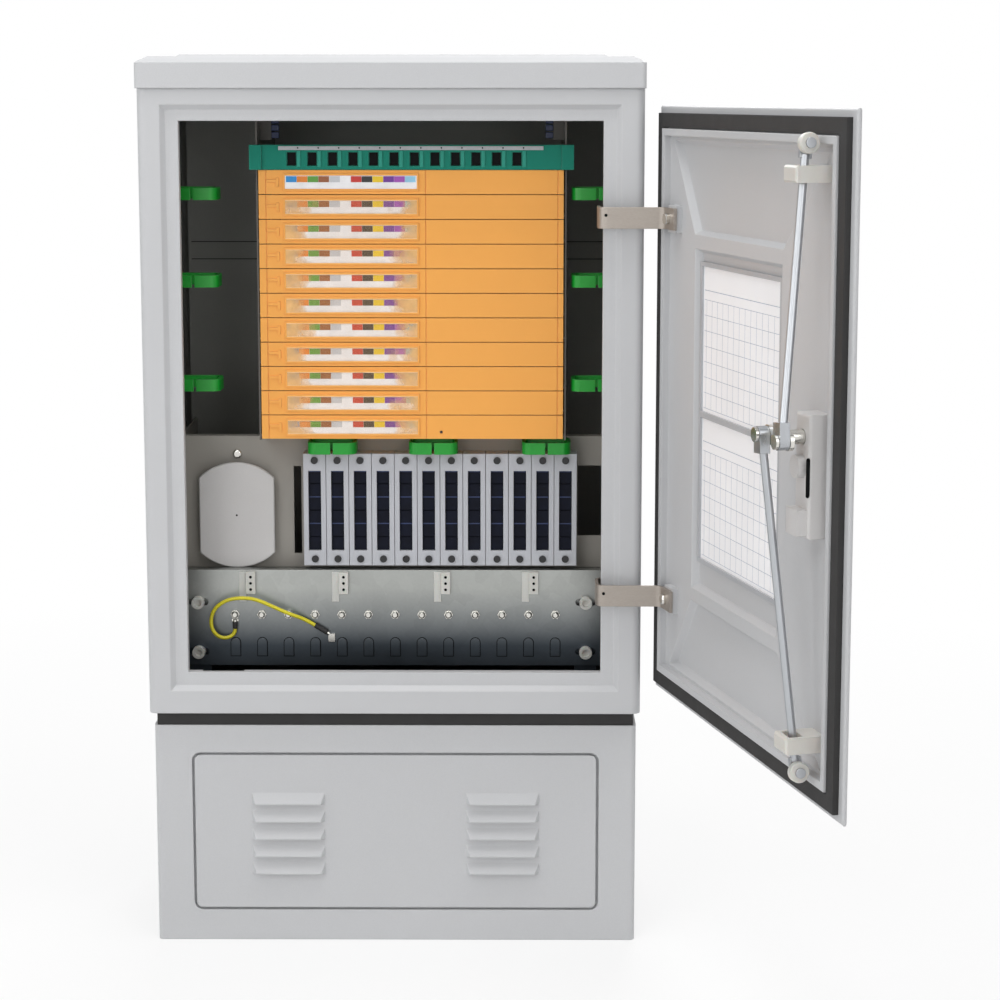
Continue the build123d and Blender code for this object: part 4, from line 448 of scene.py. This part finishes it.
# Record cards on the door: plain ruled grids under one title rule
CARD_SPANS = ((482, 638), (645, 803))
RULE_U0, RULE_U1, RULE_HALF_W, RULE_N0, RULE_N1 = 117, 324, 0.25, -12.5, -12.42
GRID_BELOW_TOP, GRID_ABOVE_FOOT, TITLE_BELOW_TOP, TITLE_RULE_H = 36, 4, 26, 0.7
COLUMN_RULES, FIRST_COLUMN_SHARE, ROW_RULES = 14, 0.4, 8
rules = []
for low, high in CARD_SPANS:
    head, foot = high - GRID_BELOW_TOP, low + GRID_ABOVE_FOOT
    for k in range(COLUMN_RULES):
        share = (k + FIRST_COLUMN_SHARE) / (COLUMN_RULES - 1 + FIRST_COLUMN_SHARE)
        u = RULE_U0 + (RULE_U1 - RULE_U0) * share
        rules.append(((u - RULE_HALF_W, foot, RULE_N0), (u + RULE_HALF_W, head, RULE_N1), 0))
    for k in range(ROW_RULES):
        z = foot + (head - foot) * k / (ROW_RULES - 1)
        rules.append(((RULE_U0, z - RULE_HALF_W, RULE_N0), (RULE_U1, z + RULE_HALF_W, RULE_N1), 0))
    title = high - TITLE_BELOW_TOP
    rules.append(((RULE_U0, title, RULE_N0), (RULE_U1, title + TITLE_RULE_H, RULE_N1), 0))
piece("card_rules", "door", [ink], rules, space=DOOR)

# Small marks: the clips' screws and the spool's centre
CLIP_XS, CLIP_MARK_ASIDE, CLIP_MARK_ZS = (-188.3, -78, 43, 147.5), 14, (419.5, 412, 404.5)
CLIP_MARK_Y, CLIP_MARK_R, CLIP_MARK_H = -66.05, 1.7, 0.4
SPOOL_MARK, SPOOL_MARK_R, SPOOL_MARK_H = (-192, -45.05, 490), 1.2, 0.2
marks = [((x + CLIP_MARK_ASIDE, CLIP_MARK_Y, z), DEPTHWISE, CLIP_MARK_R, CLIP_MARK_H, 0)
         for x in CLIP_XS for z in CLIP_MARK_ZS]
marks.append((SPOOL_MARK, DEPTHWISE, SPOOL_MARK_R, SPOOL_MARK_H, 0))
piece("clip_marks", "cabinet", [dark], discs=marks)

# Parking adapters: blue lines across each column
PARK_X0, PARK_PITCH, PARK_COUNT = -98, 27, 12
LINE_HALF_W, LINE_HALF_H, LINE_Y0, LINE_Y1 = 7.1, 0.7, -51.2, -51.01
LINE_ZS = (481.5, 513.5, 544.2)
lines = []
for k in range(PARK_COUNT):
    x = PARK_X0 + PARK_PITCH * k
    for z in LINE_ZS:
        lines.append(((x - LINE_HALF_W, LINE_Y0, z - LINE_HALF_H), (x + LINE_HALF_W, LINE_Y1, z + LINE_HALF_H), 0))
piece("parking_lines", "cabinet", [blue], lines)

# Ground plate: the gap round each tab, painted as dark shade on a sheet behind the tab
TAB_HALF_W, TAB_Z0, TAB_Z1 = 6.3, 321.8, 339
GAP_FRONT, GAP_BACK, GAP_TOP_Y, GAP_TOP_H = -60.12, -60.01, -60.06, 0.12
gap_shade, gap_top_shade = [], []
for k in range(STUD_COUNT):
    x = STUD_X0 + STUD_PITCH * k
    gap_shade.append(((x - TAB_HALF_W, GAP_FRONT, TAB_Z0), (x + TAB_HALF_W, GAP_BACK, TAB_Z1), 0))
    gap_top_shade.append(((x, GAP_TOP_Y, TAB_Z1), DEPTHWISE, TAB_HALF_W, GAP_TOP_H, 0))
piece("tab_gap_shade", "cabinet", [dark], gap_shade, gap_top_shade)

# Hinge straps: a hole in each, painted as a disc of dark shade. Lock case: a slot, painted as dark shade
STRAP_FACING = (0.19, 0.98, 0)
STRAP_HOLE_X, STRAP_HOLE_Y, STRAP_HOLE_ZS = 240, -166.55, (853.5, 423.5)
STRAP_HOLE_R, STRAP_HOLE_H = 1.8, 0.5
SLOT_U0, SLOT_U1, SLOT_Z0, SLOT_Z1, SLOT_N0, SLOT_N1 = 462.01, 462.15, 614, 648, 15, 19
SLOT_U, SLOT_N, SLOT_END_R, SLOT_END_H = 462.08, 17, 2, 0.14
hole_shade = [((STRAP_HOLE_X, STRAP_HOLE_Y, z), STRAP_FACING, STRAP_HOLE_R, STRAP_HOLE_H, 0)
         for z in STRAP_HOLE_ZS]
piece("strap_hole_shade", "door", [dark], discs=hole_shade)
slot_shade = [((SLOT_U0, SLOT_Z0, SLOT_N0), (SLOT_U1, SLOT_Z1, SLOT_N1), 0)]
slot_end_shade = [((SLOT_U, z, SLOT_N), (1, 0, 0), SLOT_END_R, SLOT_END_H, 0) for z in (SLOT_Z0, SLOT_Z1)]
piece("case_slot_shade", "door", [dark], slot_shade, slot_end_shade, space=DOOR)

# Floor, backdrop and light
WORLD_LIGHT = 0.28
FLOOR_HALF, FLOOR_Z = 9, -0.0004
FLOOR_GREY, FLOOR_ROUGH, FLOOR_GRAIN = (0.9, 0.9, 0.9, 1), (0.55, 0.65), 3.0
NEAR, FAR, NEAR_GLOW = 0.7, 1.7, 0.74
AIM = Vector((0.08, -0.1, 0.52))
LAMPS = (
    ("key", (-1.5, -2.6, 2.9), 1.6, 21),
    ("fill", (2.2, -2.6, 2.3), 2.0, 14),
    ("front_left", (-1.0, -3.3, 1.2), 1.2, 8.5),
    ("front_right", (1.25, -3.3, 1.2), 1.2, 7.5),
    ("side", (-2.7, -1.5, 1.2), 1.6, 14),
    ("top", (0.1, -0.5, 3.2), 2.0, 44),
    ("back", (0.4, 2.8, 2.2), 2.2, 40),
)


def seen_rays(tree):
    """1 for the rays that show what lies there, 0 for those that light the object."""
    path = wire(tree, "LightPath").outputs
    seen = maths(tree, "MAXIMUM", path["Is Camera Ray"], path["Is Glossy Ray"])
    return maths(tree, "MAXIMUM", seen, path["Is Transmission Ray"])


def backdrop():
    world = bpy.data.worlds.new("studio")
    scene.world = world
    world.use_nodes = True
    tree = world.node_tree
    tree.nodes.clear()
    light = wire(tree, "Background", {"Color": WHITE, "Strength": WORLD_LIGHT}).outputs[0]
    white = wire(tree, "Background", {"Color": WHITE, "Strength": 1.0}).outputs[0]
    mixed = wire(tree, "MixShader", {0: seen_rays(tree), 1: light, 2: white}).outputs[0]
    wire(tree, "OutputWorld", {"Surface": mixed})


def pale_floor():
    """Takes the shadow near the object and is plain white further out."""
    paint, tree, shader = new_material("floor_white")
    spot = wire(tree, "TexCoord").outputs["Object"]
    grain = wire(tree, "TexNoise", {"Vector": spot, "Scale": FLOOR_GRAIN}).outputs["Fac"]
    tree.links.new(spread(tree, grain, *FLOOR_ROUGH), shader.inputs["Roughness"])
    shader.inputs["Base Color"].default_value = FLOOR_GREY
    away = wire(tree, "VectorMath", {0: spot}, operation="LENGTH").outputs["Value"]
    share = maths(tree, "MULTIPLY", seen_rays(tree), spread(tree, away, NEAR_GLOW, 1.0, NEAR, FAR))
    glow = wire(tree, "Emission", {"Color": WHITE, "Strength": 1.0}).outputs[0]
    mixed = wire(tree, "MixShader", {0: share, 1: shader.outputs[0], 2: glow}).outputs[0]
    tree.links.new(mixed, tree.nodes["Material Output"].inputs["Surface"])
    mesh = bpy.data.meshes.new("floor")
    corners = [(x * FLOOR_HALF, y * FLOOR_HALF, FLOOR_Z) for x, y in ((-1, -1), (1, -1), (1, 1), (-1, 1))]
    mesh.from_pydata(corners, [], [(0, 1, 2, 3)])
    mesh.materials.append(paint)
    floor = bpy.data.objects.new("floor", mesh)
    scene.collection.objects.link(floor)


def lamps():
    for name, spot, size, power in LAMPS:
        lamp = bpy.data.lights.new(name, "AREA")
        lamp.shape, lamp.size, lamp.energy = "DISK", size, power
        light = bpy.data.objects.new(name, lamp)
        light.location = spot
        light.rotation_euler = (AIM - Vector(spot)).to_track_quat("-Z", "Y").to_euler()
        scene.collection.objects.link(light)


backdrop()
pale_floor()
lamps()
